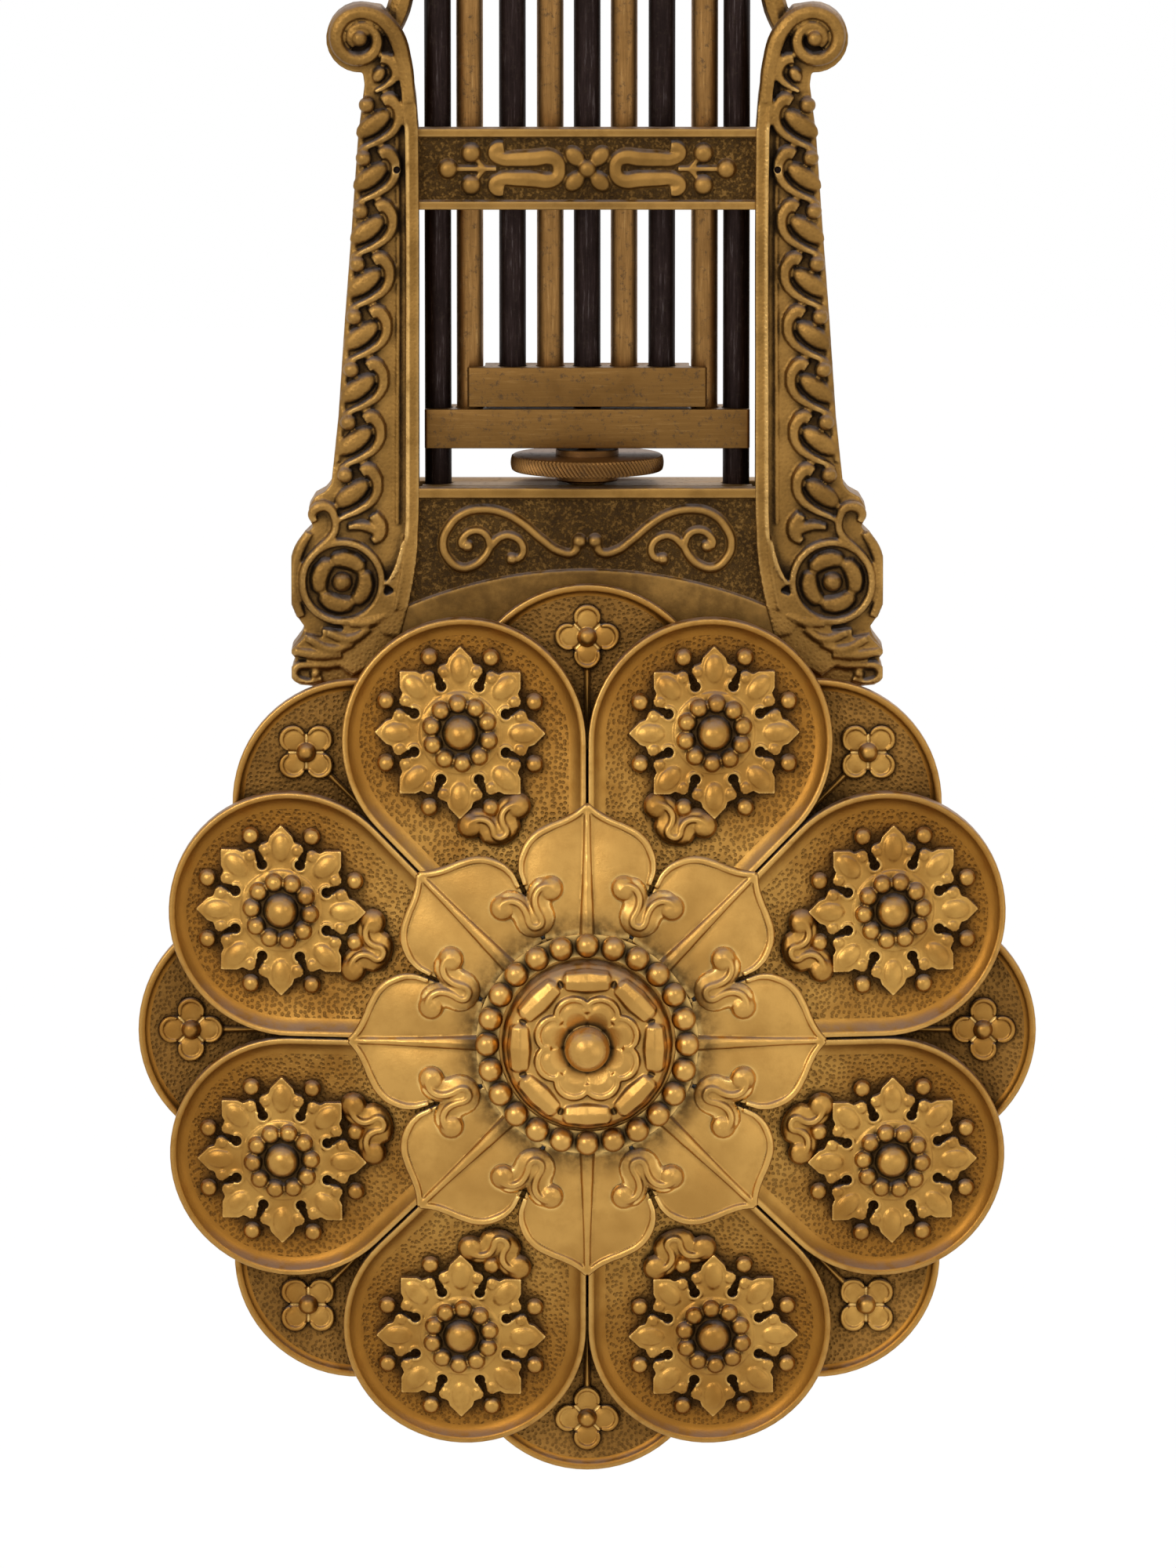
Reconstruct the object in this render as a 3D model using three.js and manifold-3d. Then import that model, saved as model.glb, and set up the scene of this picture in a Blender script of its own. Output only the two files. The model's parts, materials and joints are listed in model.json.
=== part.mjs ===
// Compensated gridiron pendulum of a portico clock: suspension, nine-rod grid,
// cast lyre frame and gilt rosette bob, every piece a closed body of its own.
// Millimetres, +Z up, +X to the viewer's right, the decorated front faces -Y.
// The origin is the middle of the upper suspension pin, and the rods lie in the plane y = 0.
import * as THREE from 'three';
import { mergeVertices } from 'three/addons/utils/BufferGeometryUtils.js';
import Module from 'manifold-3d';

const wasm = await Module();
wasm.setup();

// Clearances
const seat = 0.3;
const fit = 0.2;
const overrun = 2;

// Suspension: chops, pins, rivets and two spring leaves
const chopHeight = 8;
const chopWidth = 10.4;
const chopThick = 1.8;
const springFree = 8;
const leafThick = 0.3;
const leafWidth = 3;
const leafGap = 3.2;
const leafMargin = 0.8;
const pinRadius = 1.1;
const pinHalf = 8;
const hookPinHalf = 6.4;
const rivetRadius = 0.6;
const rivetHead = 0.4;
const rivetRise = 2.3;
const chopBevel = 0.4;

// Reach of the pendulum, from where the springs flex to the middle of the bob, and the bob's radius
const pendulumLength = 250;
const bobRadius = 55;

// Hook that hangs on the lower pin
const hookThick = 2;
const hookBand = 2;
const hookDrop = 5.8;
const hookBridge = 4;
const hookStemRadius = 2.2;
const hookCollarRadius = 3.6;
const hookCollarHeight = 2;
const hookTenon = 3;
const hookWrapShare = 1.12;

// Gridiron rods and the gaps between neighbours, from the middle out
const rodRadius = 1.63;
const gapCentre = 1.24;
const gapInner = 1.34;
const gapOuter = 1.94;
const gapEnd = 0.64;
const brassInnerX = 2 * rodRadius + gapCentre;
const steelInnerX = brassInnerX + 2 * rodRadius + gapInner;
const brassOuterX = steelInnerX + 2 * rodRadius + gapOuter;
const steelOuterX = brassOuterX + 2 * rodRadius + gapEnd;

// Grid bars
const barHeight = 4.8;
const barDepth = 6;
const barLip = 0.3;
const barEnd = 2.1;
const barBevel = 0.25;
const boreDepth = 3.2;
const bobRoom = 16;
const hookRoom = 29;
const bottomBarRise = bobRadius + bobRoom;
const gridHeight = pendulumLength - bottomBarRise - hookRoom;

// Rating nut and its keeper collar
const nutRadius = 9.4;
const nutHeight = 2;
const nutNeckRadius = 3.85;
const nutNeckHeight = 0.7;
const nutHubRadius = 3.9;
const nutHubHeight = 1.2;
const nutSpigotRadius = 2.1;
const threadRadius = 1.2;
const knurlDepth = 0.18;
const knurlTeeth = 32;
const collarRadius = 3;
const collarHeight = 2.4;
const collarDrop = 3.9;

// Lyre frame: arms
const armInner = 20.5;
const armReach = 15.6;
const armOverlap = 13.2;
const armFoot = bobRadius - armOverlap;
const armTall = 83.65;
const armFront = 5.8;
const armBack = 1;
const armBevel = 0.35;
const filletWidth = 1.6;
const filletRise = 0.8;
const voluteRadius = 4.15;
const voluteRise = 0.9;
const voluteRibbon = 0.8;
const voluteTurnsShare = 1.6;
const voluteWindShare = 0.82;
const beadRadius = 1.05;
const beadSinkShare = 0.75;
const beadCount = 8;
const roundelRadius = 4.6;
const roundelBand = 0.9;
const roundelProud = 0.8;
const roundelFlower = 3.2;
const roundelBall = 1.15;
const crestRise = 24;
const crestBand = 2.2;
const crestFootShare = 0.6;
const crestCurlShare = 0.75;
const crestDepth = 3.4;

// Lyre frame: cross bar, base panel and guide block
const crossStep = 58.6;
const crossLow = armFoot + crossStep;
const crossHeight = 9.9;
const crossFloor = 4.4;
const crossProud = 0.8;
const crossThick = 2.2;
const crossRim = 1;
const tenonLength = 4.6;
const tenonHeight = 5;
const tenonThick = 1.8;
const dowelRadius = 0.5;
const dowelInset = 2.6;
const panelTop = bottomBarRise - nutNeckHeight - nutHeight - nutHubHeight - 2 * seat;
const panelBack = 3.9;
const panelFloor = 5.2;
const panelProud = 0.7;
const panelRim = 1.2;
const padFront = 6.5;
const padMargin = 0.2;
const tongueHalf = 16;
const blockFront = 3.6;
const blockBack = 5.6;
const blockHeight = 10.5;
const flangeReach = 6.5;
const screwRadius = 1;
const screwHeadRadius = 2;
const screwHeadHeight = 1.2;
const armScrewInset = 3.5;
const armScrewX = armInner + armScrewInset;
const armScrewGrip = 4;
const panelScrewX = 10.5;
const panelScrewGrip = 1.1;
const screwDrop = 5.5;
const screwRise = panelTop - screwDrop;
const bobScrewX = 10.5;
const bobScrewMargin = 5.5;
const bobScrewGrip = 0.9;

// Bob: depths are forward of the rod plane, radii are from the middle of the bob
const lobeCount = 8;
const backSeat = 6.8;
const backThick = 1.7;
const backRim = 0.9;
const backDish = 0.4;
const frontStep = 0.8;
const frontRadius = bobRadius - frontStep;
const petalGroove = 0.1;
const petalRim = 0.9;
const petalFall = 1.2;
const petalDish = 1.2;
const petalThick = 2.2;
const petalFront = 10.6;
const petalSlope = 0.16;
const hubRadius = 16;
const rosetteMargin = 2.2;
const rosetteShift = 1;
const rosetteEdge = 0.8;
const rosetteBelly = 1.9;
const rosetteEye = 3.4;
const flowerInset = 6.5;
const flowerRadius = 3.9;
const flowerThick = 0.8;
const flowerBall = 1.15;
const stemLength = 9;
const stemWidth = 0.7;
const calyxRadius = 29.3;
const calyxThick = 1.6;
const calyxSlope = 0.12;
const calyxDish = 0.45;
const calyxSeatRadius = 14;
const ribWidth = 1.5;
const ribRise = 0.9;
const ringRadius = 12.3;
const ringBead = 1.45;
const ringBeads = 24;
const ringBandHalf = 1.35;
const ringBandThick = 0.6;
const bossRadius = 10.4;
const bossRise = 7.2;
const boltRadius = 2.3;
const coverInset = 15;
const coverRadius = bobRadius - coverInset;
const bobScrewRise = coverRadius + bobScrewMargin;
const coverWall = 1.2;
const coverBack = 14;
const dimpleRadius = 6.2;
const dimpleDepth = 3;
const rearNutRadius = 4.4;
const rearNutHeight = 2.4;

// Facet counts
const rodSides = 12;
const pinSides = 12;
const screwSides = 8;
const discSides = 28;
const hubSides = 18;
const ringSides = 12;
const voluteSteps = 14;
const arcSteps = 10;

// Colours, roughness and metalness of the metals
function metal(color, roughness, metalness) {
  return () => new THREE.MeshStandardMaterial({ color, roughness, metalness });
}
const gilt = metal(0xb0853c, 0.38, 1);
const bronze = metal(0x8a6a38, 0.5, 1);
const brass = metal(0xa8824a, 0.42, 1);
const steel = metal(0x3a2e2a, 0.5, 1);
const blueSteel = metal(0x50586a, 0.3, 1);
const lead = metal(0x6a6c70, 0.7, 0.8);

// Closed geometry to solid and back, so that pieces can be joined and cut
function solidOf(geometry) {
  const bare = geometry.clone();
  bare.deleteAttribute('normal');
  bare.deleteAttribute('uv');
  const welded = mergeVertices(bare);
  const corners = new Float32Array(welded.attributes.position.array);
  const faces = new Uint32Array(welded.index.array);
  return new wasm.Manifold(new wasm.Mesh({ numProp: 3, vertProperties: corners, triVerts: faces }));
}

function geometryOf(solid) {
  const mesh = solid.getMesh();
  const corners = [];
  for (let i = 0; i < mesh.vertProperties.length; i += mesh.numProp) {
    corners.push(...mesh.vertProperties.subarray(i, i + 3));
  }
  const geometry = new THREE.BufferGeometry();
  geometry.setAttribute('position', new THREE.Float32BufferAttribute(corners, 3));
  geometry.setIndex(Array.from(mesh.triVerts));
  return geometry;
}

function join(...pieces) {
  return geometryOf(pieces.map(solidOf).reduce((sum, piece) => sum.add(piece)));
}

function cut(piece, ...tools) {
  return geometryOf(tools.map(solidOf).reduce((rest, tool) => rest.subtract(tool), solidOf(piece)));
}

function common(first, second) {
  return geometryOf(solidOf(first).intersect(solidOf(second)));
}

// Straight extrusions: a front view through its depth, a plan through its height,
// a side view through its width
function plate(shape, front, back, bevel = 0) {
  const settings = { depth: back - front - 2 * bevel, bevelEnabled: bevel > 0, curveSegments: 4 };
  Object.assign(settings, { bevelThickness: bevel, bevelSize: bevel, bevelOffset: -bevel });
  settings.bevelSegments = 1;
  return new THREE.ExtrudeGeometry(shape, settings).rotateX(Math.PI / 2).translate(0, back - bevel, 0);
}

function slab(shape, low, high) {
  const settings = { depth: high - low, bevelEnabled: false, curveSegments: 8 };
  return new THREE.ExtrudeGeometry(shape, settings).translate(0, 0, low);
}

function sidePlate(shape, left, right) {
  const settings = { depth: right - left, bevelEnabled: false, curveSegments: 4 };
  const geometry = new THREE.ExtrudeGeometry(shape, settings);
  return geometry.rotateX(Math.PI / 2).rotateZ(Math.PI / 2).translate(left, 0, 0);
}

// Round bars along each axis, and a block between two corners
function rodZ(radius, x, y, low, high, sides = rodSides) {
  const bar = new THREE.CylinderGeometry(radius, radius, high - low, sides);
  return bar.rotateX(Math.PI / 2).translate(x, y, (low + high) / 2);
}

function rodY(radius, x, z, front, back, sides = screwSides) {
  return new THREE.CylinderGeometry(radius, radius, back - front, sides).translate(x, (front + back) / 2, z);
}

function rodX(radius, y, z, left, right, sides = pinSides) {
  const bar = new THREE.CylinderGeometry(radius, radius, right - left, sides);
  return bar.rotateZ(Math.PI / 2).translate((left + right) / 2, y, z);
}

function block(left, right, front, back, low, high) {
  const body = new THREE.BoxGeometry(right - left, back - front, high - low);
  return body.translate((left + right) / 2, (front + back) / 2, (low + high) / 2);
}

function ball(radius, x, y, z, sides = 6, rings = 3) {
  return new THREE.SphereGeometry(radius, sides, rings).rotateX(Math.PI / 2).translate(x, y, z);
}

function polygon(points) {
  return new THREE.Shape(points.map(([x, y]) => new THREE.Vector2(x, y)));
}

// Skin over rings of corners with equal counts. An open loft is closed by a fan to the middle
// point given for each end, and a closed one returns from its last ring to its first.
function loft(rings, firstMiddle, lastMiddle) {
  const count = rings[0].length;
  const corners = rings.flat();
  const faces = [];
  const around = firstMiddle ? rings.length - 1 : rings.length;
  for (let r = 0; r < around; r += 1) {
    for (let i = 0; i < count; i += 1) {
      const next = (i + 1) % count;
      const a = r * count + i;
      const b = r * count + next;
      const c = ((r + 1) % rings.length) * count + next;
      const d = ((r + 1) % rings.length) * count + i;
      faces.push(a, b, c, a, c, d);
    }
  }
  if (firstMiddle) {
    corners.push(firstMiddle, lastMiddle);
    const last = (rings.length - 1) * count;
    for (let i = 0; i < count; i += 1) {
      const next = (i + 1) % count;
      faces.push(next, i, corners.length - 2, last + i, last + next, corners.length - 1);
    }
  }
  return facingOut(corners, faces);
}

function facingOut(corners, faces) {
  const points = corners.map(([x, y, z]) => new THREE.Vector3(x, y, z));
  let volume = 0;
  for (let i = 0; i < faces.length; i += 3) {
    const across = points[faces[i + 1]].clone().cross(points[faces[i + 2]]);
    volume += points[faces[i]].dot(across);
  }
  const geometry = new THREE.BufferGeometry();
  geometry.setAttribute('position', new THREE.Float32BufferAttribute(corners.flat(), 3));
  geometry.setIndex(volume > 0 ? faces : faces.reverse());
  return geometry;
}

// Profile of radius and depth turned about the Y axis, and of radius and height about Z
function turnedY(profile, sides = discSides) {
  const steps = [...Array(sides).keys()].map((i) => (i * 2 * Math.PI) / sides);
  const around = (radius, y) => steps.map((a) => [radius * Math.cos(a), y, radius * Math.sin(a)]);
  return loft(profile.map(([radius, y]) => around(radius, y)));
}

function turnedZ(profile, sides = hubSides) {
  return turnedY(profile.map(([radius, z]) => [radius, -z]), sides).rotateX(-Math.PI / 2);
}

// Turn a point of the bob's front view about the middle of the bob
function aboutMiddle(along, across, angle) {
  const x = along * Math.cos(angle) - across * Math.sin(angle);
  const z = along * Math.sin(angle) + across * Math.cos(angle);
  return [x, z];
}

const parts = new THREE.Group();

function add(group, name, geometry, material) {
  const mesh = new THREE.Mesh(geometry, material());
  mesh.name = name;
  group.add(mesh);
  return mesh;
}

// Heights of the main stations above the origin
const chopBottom = -chopHeight / 2;
const flexZ = chopBottom - springFree / 2;
const lowerPinZ = chopBottom - springFree - chopHeight / 2;
const bobZ = flexZ - pendulumLength;

// Suspension
function chop(side, pin) {
  const shape = new THREE.Shape();
  const halfWidth = chopWidth / 2 - chopBevel;
  const halfHeight = chopHeight / 2;
  const corners = [
    [-halfWidth, -halfHeight], [halfWidth, -halfHeight],
    [halfWidth + chopBevel, chopBevel - halfHeight], [halfWidth + chopBevel, halfHeight - chopBevel],
    [halfWidth, halfHeight], [-halfWidth, halfHeight],
    [-halfWidth - chopBevel, halfHeight - chopBevel], [-halfWidth - chopBevel, chopBevel - halfHeight],
  ];
  shape.setFromPoints(corners.map(([y, z]) => new THREE.Vector2(y, z)));
  const inner = leafThick / 2 + fit;
  const left = side > 0 ? inner : -inner - chopThick;
  const body = sidePlate(shape, left, left + chopThick).translate(0, 0, pin);
  const holes = rivetPlaces(pin).map(([y, z]) => {
    return rodX(rivetRadius + fit, y, z, left - overrun, left + chopThick + overrun, screwSides);
  });
  return cut(body, rodX(pinRadius + fit, 0, pin, left - overrun, left + chopThick + overrun), ...holes);
}

function rivetPlaces(pin) {
  const rise = rivetRise * Math.sign(pin + chopHeight / 2);
  const reach = (leafWidth + leafGap) / 2;
  return [[-reach, pin + rise], [reach, pin + rise]];
}

function rivet(y, z) {
  const half = leafThick / 2 + fit + chopThick + seat;
  const shank = rodX(rivetRadius, y, z, -half, half, screwSides);
  const headRadius = rivetRadius + 2 * rivetHead;
  const left = rodX(headRadius, y, z, -half - rivetHead, -half, screwSides);
  const right = rodX(headRadius, y, z, half, half + rivetHead, screwSides);
  return join(shank, left, right);
}

function springLeaf(side) {
  const middle = (side * (leafWidth + leafGap)) / 2;
  const low = lowerPinZ - chopHeight / 2 + leafMargin;
  const leaf = block(-leafThick / 2, leafThick / 2, middle - leafWidth / 2, middle + leafWidth / 2,
    low, chopHeight / 2 - leafMargin);
  const holes = [...rivetPlaces(0), ...rivetPlaces(lowerPinZ)].filter(([y]) => y * side > 0);
  return cut(leaf, ...holes.map(([y, z]) => {
    return rodX(rivetRadius + fit, y, z, -overrun, overrun, screwSides);
  }));
}

function buildSuspension() {
  const levels = [['upper', 0, pinHalf], ['lower', lowerPinZ, hookPinHalf]];
  for (const [level, pin, half] of levels) {
    add(parts, `${level}_chop_left`, chop(-1, pin), brass);
    add(parts, `${level}_chop_right`, chop(1, pin), brass);
    add(parts, `${level}_pin`, rodX(pinRadius, 0, pin, -half, half), steel);
    const [front, rear] = rivetPlaces(pin);
    add(parts, `${level}_rivet_front`, rivet(...front), brass);
    add(parts, `${level}_rivet_rear`, rivet(...rear), brass);
  }
  add(parts, 'spring_front', springLeaf(-1), blueSteel);
  add(parts, 'spring_rear', springLeaf(1), blueSteel);
}

// Grid: all its heights are above the middle of the bob
const grid = new THREE.Group();
grid.position.z = bobZ;
parts.add(grid);
const bottomOuterTop = bottomBarRise + barHeight;
const bottomInnerLow = bottomOuterTop + seat;
const topOuterLow = bottomBarRise + gridHeight - barHeight;
const topMiddleLow = topOuterLow - seat - barHeight;
const topInnerLow = topMiddleLow - seat - barHeight;
const hookFoot = topOuterLow + barHeight + seat;
const hookPinRise = lowerPinZ - bobZ;

function hookPlate(left, right) {
  const inner = pinRadius + seat;
  const outer = inner + hookBand;
  const foot = -hookDrop - hookBridge / 2;
  const wrap = Math.PI * hookWrapShare;
  const shape = new THREE.Shape();
  shape.moveTo(inner, foot);
  shape.lineTo(outer, foot);
  shape.lineTo(outer, 0);
  shape.absarc(0, 0, outer, 0, wrap, false);
  shape.absarc(0, 0, inner, wrap, 0, true);
  shape.closePath();
  return sidePlate(shape, left, right).translate(0, 0, hookPinRise);
}

function pendulumHook() {
  const inner = leafThick / 2 + fit + chopThick + seat + rivetHead + seat;
  const outer = inner + hookThick;
  const depth = pinRadius + seat + hookBand;
  const bridgeTop = hookPinRise - hookDrop;
  const bridge = block(-outer, outer, -depth, depth, bridgeTop - hookBridge, bridgeTop);
  const stem = rodZ(hookStemRadius, 0, 0, hookFoot - hookTenon - seat, bridgeTop - hookBridge / 2);
  const collar = turnedZ([
    [hookStemRadius / 2, hookFoot], [hookCollarRadius, hookFoot],
    [hookCollarRadius, hookFoot + hookCollarHeight], [hookStemRadius / 2, hookFoot + 2 * hookCollarHeight],
  ], rodSides);
  return join(hookPlate(-outer, -inner), hookPlate(inner, outer), bridge, stem, collar);
}

// A grid bar with through bores, blind bores and notches that are open at the end or the back
function gridBar(half, low, bores) {
  const shape = polygon([
    [-half + barBevel, -barDepth / 2], [half - barBevel, -barDepth / 2], [half, barBevel - barDepth / 2],
    [half, barDepth / 2], [-half, barDepth / 2], [-half, barBevel - barDepth / 2],
  ]);
  const tools = [];
  for (const [x, from, to, open] of bores) {
    for (const side of x > 0 ? [-1, 1] : [1]) {
      tools.push(rodZ(rodRadius + fit, side * x, 0, from, to));
      if (open) tools.push(notch(side, x, from, to, open));
    }
  }
  return cut(slab(shape, low, low + barHeight), ...tools);
}

function notch(side, x, from, to, open) {
  const wide = rodRadius + fit;
  const near = open === 'end' ? x : x - wide;
  const far = x + barEnd + overrun;
  const back = open === 'end' ? wide : barDepth;
  const front = open === 'end' ? -wide : 0;
  return block(Math.min(side * near, side * far), Math.max(side * near, side * far), front, back, from, to);
}

function through(low) {
  return [low - overrun, low + barHeight + overrun];
}

function upInto(low) {
  return [low - overrun, low + boreDepth];
}

function downInto(low) {
  return [low + barHeight - boreDepth, low + barHeight + overrun];
}

function buildGrid() {
  add(grid, 'pendulum_hook', pendulumHook(), brass);
  const topOuter = gridBar(steelOuterX + barEnd, topOuterLow, [[steelOuterX, ...upInto(topOuterLow)]]);
  const socket = rodZ(hookStemRadius + fit, 0, 0, hookFoot - 2 * seat - hookTenon, hookFoot + overrun);
  add(grid, 'top_bar_outer', cut(topOuter, socket), brass);
  add(grid, 'top_bar_middle', gridBar(steelOuterX + barLip, topMiddleLow, [
    [brassOuterX, ...upInto(topMiddleLow)], [steelInnerX, ...upInto(topMiddleLow)],
    [steelOuterX, ...through(topMiddleLow), 'back'],
  ]), brass);
  add(grid, 'top_bar_inner', gridBar(steelInnerX + barLip, topInnerLow, [
    [0, ...upInto(topInnerLow)], [brassInnerX, ...upInto(topInnerLow)],
    [steelInnerX, ...through(topInnerLow), 'back'],
  ]), brass);
  add(grid, 'bottom_bar_inner', gridBar(brassOuterX + barLip, bottomInnerLow, [
    [0, ...through(bottomInnerLow)], [brassInnerX, ...downInto(bottomInnerLow)],
    [steelInnerX, ...downInto(bottomInnerLow)], [brassOuterX, ...through(bottomInnerLow), 'back'],
  ]), brass);
  add(grid, 'bottom_bar_outer', gridBar(steelOuterX + rodRadius, bottomBarRise, [
    [0, ...through(bottomBarRise)], [brassOuterX, ...downInto(bottomBarRise)],
    [steelOuterX, ...through(bottomBarRise), 'end'],
  ]), brass);
  buildRods();
}

function buildRods() {
  const intoTop = (low) => low + boreDepth - seat;
  const intoBottom = (low) => low + barHeight - boreDepth + seat;
  const guideEnd = panelTop - blockHeight + seat;
  const pairs = [
    ['brass_rod_inner', brassInnerX, intoBottom(bottomInnerLow), intoTop(topInnerLow), brass],
    ['steel_rod_inner', steelInnerX, intoBottom(bottomInnerLow), intoTop(topMiddleLow), steel],
    ['brass_rod_outer', brassOuterX, intoBottom(bottomBarRise), intoTop(topMiddleLow), brass],
    ['steel_rod_outer', steelOuterX, guideEnd, intoTop(topOuterLow), steel],
  ];
  const thread = rodZ(threadRadius, 0, 0, guideEnd, bottomBarRise + seat);
  const centre = rodZ(rodRadius, 0, 0, bottomBarRise, intoTop(topInnerLow));
  add(grid, 'steel_rod_centre', join(centre, thread), steel);
  for (const [name, x, low, high, material] of pairs) {
    add(grid, `${name}_left`, rodZ(rodRadius, -x, 0, low, high), material);
    add(grid, `${name}_right`, rodZ(rodRadius, x, 0, low, high), material);
  }
}

// Rating nut: it turns on the threaded end of the middle rod and carries the lyre frame
const nutTop = bottomBarRise - seat - nutNeckHeight;
const nutLow = nutTop - nutHeight;
const collarTop = panelTop - collarDrop;

function ratingNut() {
  const count = 2 * knurlTeeth;
  const outline = [...Array(count).keys()].map((i) => {
    const angle = (i * 2 * Math.PI) / count;
    const radius = nutRadius - (i % 2) * knurlDepth;
    return [radius * Math.cos(angle), radius * Math.sin(angle)];
  });
  const rim = slab(polygon(outline), nutLow, nutTop);
  const neck = rodZ(nutNeckRadius, 0, 0, nutTop - nutHeight / 2, nutTop + nutNeckHeight, hubSides);
  const hub = rodZ(nutHubRadius, 0, 0, nutLow - nutHubHeight, nutLow + nutHeight / 2, hubSides);
  const spigotEnd = collarTop - collarHeight;
  const spigot = rodZ(nutSpigotRadius, 0, 0, spigotEnd, nutLow + nutHeight / 2);
  const bore = rodZ(threadRadius + fit, 0, 0, spigotEnd - overrun, nutTop + nutNeckHeight + overrun);
  return cut(join(rim, neck, hub, spigot), bore);
}

function keeperCollar() {
  return turnedZ([
    [nutSpigotRadius + fit, collarTop - collarHeight], [collarRadius, collarTop - collarHeight],
    [collarRadius, collarTop], [nutSpigotRadius + fit, collarTop],
  ], rodSides);
}

function buildNut() {
  add(grid, 'rating_nut', ratingNut(), brass);
  add(grid, 'keeper_collar', keeperCollar(), brass);
}

// Lyre arms. The outline is drawn for the right arm as shares of the arm's reach and height.
const armInnerShares = [
  [0.244, 0.091], [0.135, 0.122], [0.051, 0.163], [0.013, 0.212], [0, 0.271],
  [0, 0.815], [0.019, 0.863], [0.064, 0.918], [0.154, 0.966], [0.288, 0.995],
];
const armOuterShares = [
  [0.429, 0.899], [0.397, 0.882], [0.404, 0.856], [0.442, 0.809], [0.494, 0.677], [0.551, 0.538],
  [0.603, 0.399], [0.641, 0.318], [0.712, 0.296], [0.808, 0.277], [0.821, 0.261], [0.756, 0.252],
  [0.865, 0.218], [0.968, 0.189], [0.994, 0.151], [0.942, 0.112], [0.853, 0.088],
  [0.968, 0.065], [0.942, 0.045], [1, 0.024], [0.968, 0.002], [0.737, 0.01], [0.481, 0.041], [0.301, 0.074],
];
const voluteXShare = 0.449;
const voluteRiseShare = 0.949;
const beadTopShare = 0.8536;
const beadLowShare = 0.3264;
const roundelXShare = 0.6026;
const roundelRiseShare = 0.159;
const [voluteX, voluteZ] = armPoint([voluteXShare, voluteRiseShare]);
const [roundelX, roundelRise] = armPoint([roundelXShare, roundelRiseShare]);

function armPoint([across, up]) {
  return [armInner + armReach * across, armFoot + armTall * up];
}

function outerEdgeAt(z) {
  const edge = armOuterShares.slice(2, 8).map(armPoint);
  const above = edge.findIndex(([, height]) => height < z);
  const [x1, z1] = edge[above - 1];
  const [x2, z2] = edge[above];
  return x1 + ((x2 - x1) * (z1 - z)) / (z1 - z2);
}

function armShape() {
  const shape = polygon(armInnerShares.map(armPoint));
  shape.absarc(voluteX, voluteZ, voluteRadius, Math.PI * 0.6, -Math.PI * 0.56, true);
  for (const point of armOuterShares.map(armPoint)) shape.lineTo(...point);
  shape.closePath();
  return shape;
}

function crest() {
  const shape = new THREE.Shape();
  const foot = voluteZ + voluteRadius * crestFootShare;
  const x = (armInner + voluteX) / 2;
  const top = foot + crestRise;
  const curlRadius = crestBand * crestCurlShare;
  shape.moveTo(x - crestBand / 2, foot);
  shape.quadraticCurveTo(x - 2 * crestBand, foot + crestRise / 2, x + crestBand / 2, top - crestBand);
  shape.absarc(x + 3 * crestBand / 2, top - crestBand, crestBand, Math.PI, -Math.PI * crestFootShare, true);
  shape.quadraticCurveTo(x, foot + crestRise / 2, x + crestBand / 2, foot);
  shape.closePath();
  const middle = (armBack - armFront) / 2;
  const body = plate(shape, middle - crestDepth / 2, middle + crestDepth / 2);
  const curl = rodY(curlRadius, x - crestBand, foot + crestBand, middle - crestDepth / 2,
    middle + crestDepth / 2, rodSides);
  return [body, curl];
}

// Raised ribbon that winds inwards from the volute's edge to its eye
function voluteRibbonPiece() {
  const points = [];
  for (let i = 0; i <= voluteSteps; i += 1) {
    const wound = i / voluteSteps;
    const angle = Math.PI / 2 - wound * voluteTurnsShare * 2 * Math.PI;
    const radius = (voluteRadius - voluteRibbon) * (1 - voluteWindShare * wound);
    points.push(new THREE.Vector3(voluteX + radius * Math.cos(angle), 0, voluteZ + radius * Math.sin(angle)));
  }
  return ribbon(points, voluteRibbon, voluteRise).translate(0, -armFront, 0);
}

// Ribbon of square section along a path in the front view, half sunk in what carries it
function ribbon(points, width, rise) {
  const half = width / 2;
  const corners = points.map((point, i) => {
    const ahead = points[Math.min(i + 1, points.length - 1)];
    const behind = points[Math.max(i - 1, 0)];
    const along = ahead.clone().sub(behind).normalize();
    const sideX = -along.z * half;
    const sideZ = along.x * half;
    return [
      [point.x - sideX, rise, point.z - sideZ], [point.x - sideX / 2, -rise, point.z - sideZ / 2],
      [point.x + sideX / 2, -rise, point.z + sideZ / 2], [point.x + sideX, rise, point.z + sideZ],
    ];
  });
  const first = points[0].toArray();
  const last = points[points.length - 1].toArray();
  return loft(corners, first, last);
}

function filletStrip() {
  const edge = armInnerShares.slice(3, 9).map(armPoint);
  const inset = edge.map(([x, z]) => [x + filletWidth, z]).reverse();
  return plate(polygon([...edge, ...inset]), -armFront - filletRise, armBack - armBevel);
}

function armBeads() {
  const pieces = [];
  for (let i = 0; i < beadCount; i += 1) {
    const share = beadTopShare + ((beadLowShare - beadTopShare) * i) / (beadCount - 1);
    const z = armFoot + armTall * share;
    const x = outerEdgeAt(z) - beadRadius * beadSinkShare;
    pieces.push(ball(beadRadius, x, -armFront, z));
  }
  return pieces;
}

function roundel() {
  const front = -armFront - roundelProud;
  const ring = turnedY([
    [roundelRadius - roundelBand, front], [roundelRadius, front],
    [roundelRadius, -armBack], [roundelRadius - roundelBand, -armBack],
  ], ringSides).translate(roundelX, 0, roundelRise);
  const flower = fourPetals(roundelFlower, 0);
  const petals = plate(flower, front, -armFront + roundelProud).translate(roundelX, 0, roundelRise);
  return [ring, petals, ball(roundelBall, roundelX, front, roundelRise)];
}

// Flower of four round petals, drawn as one outline
const petalNotchShare = 0.6;

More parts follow.
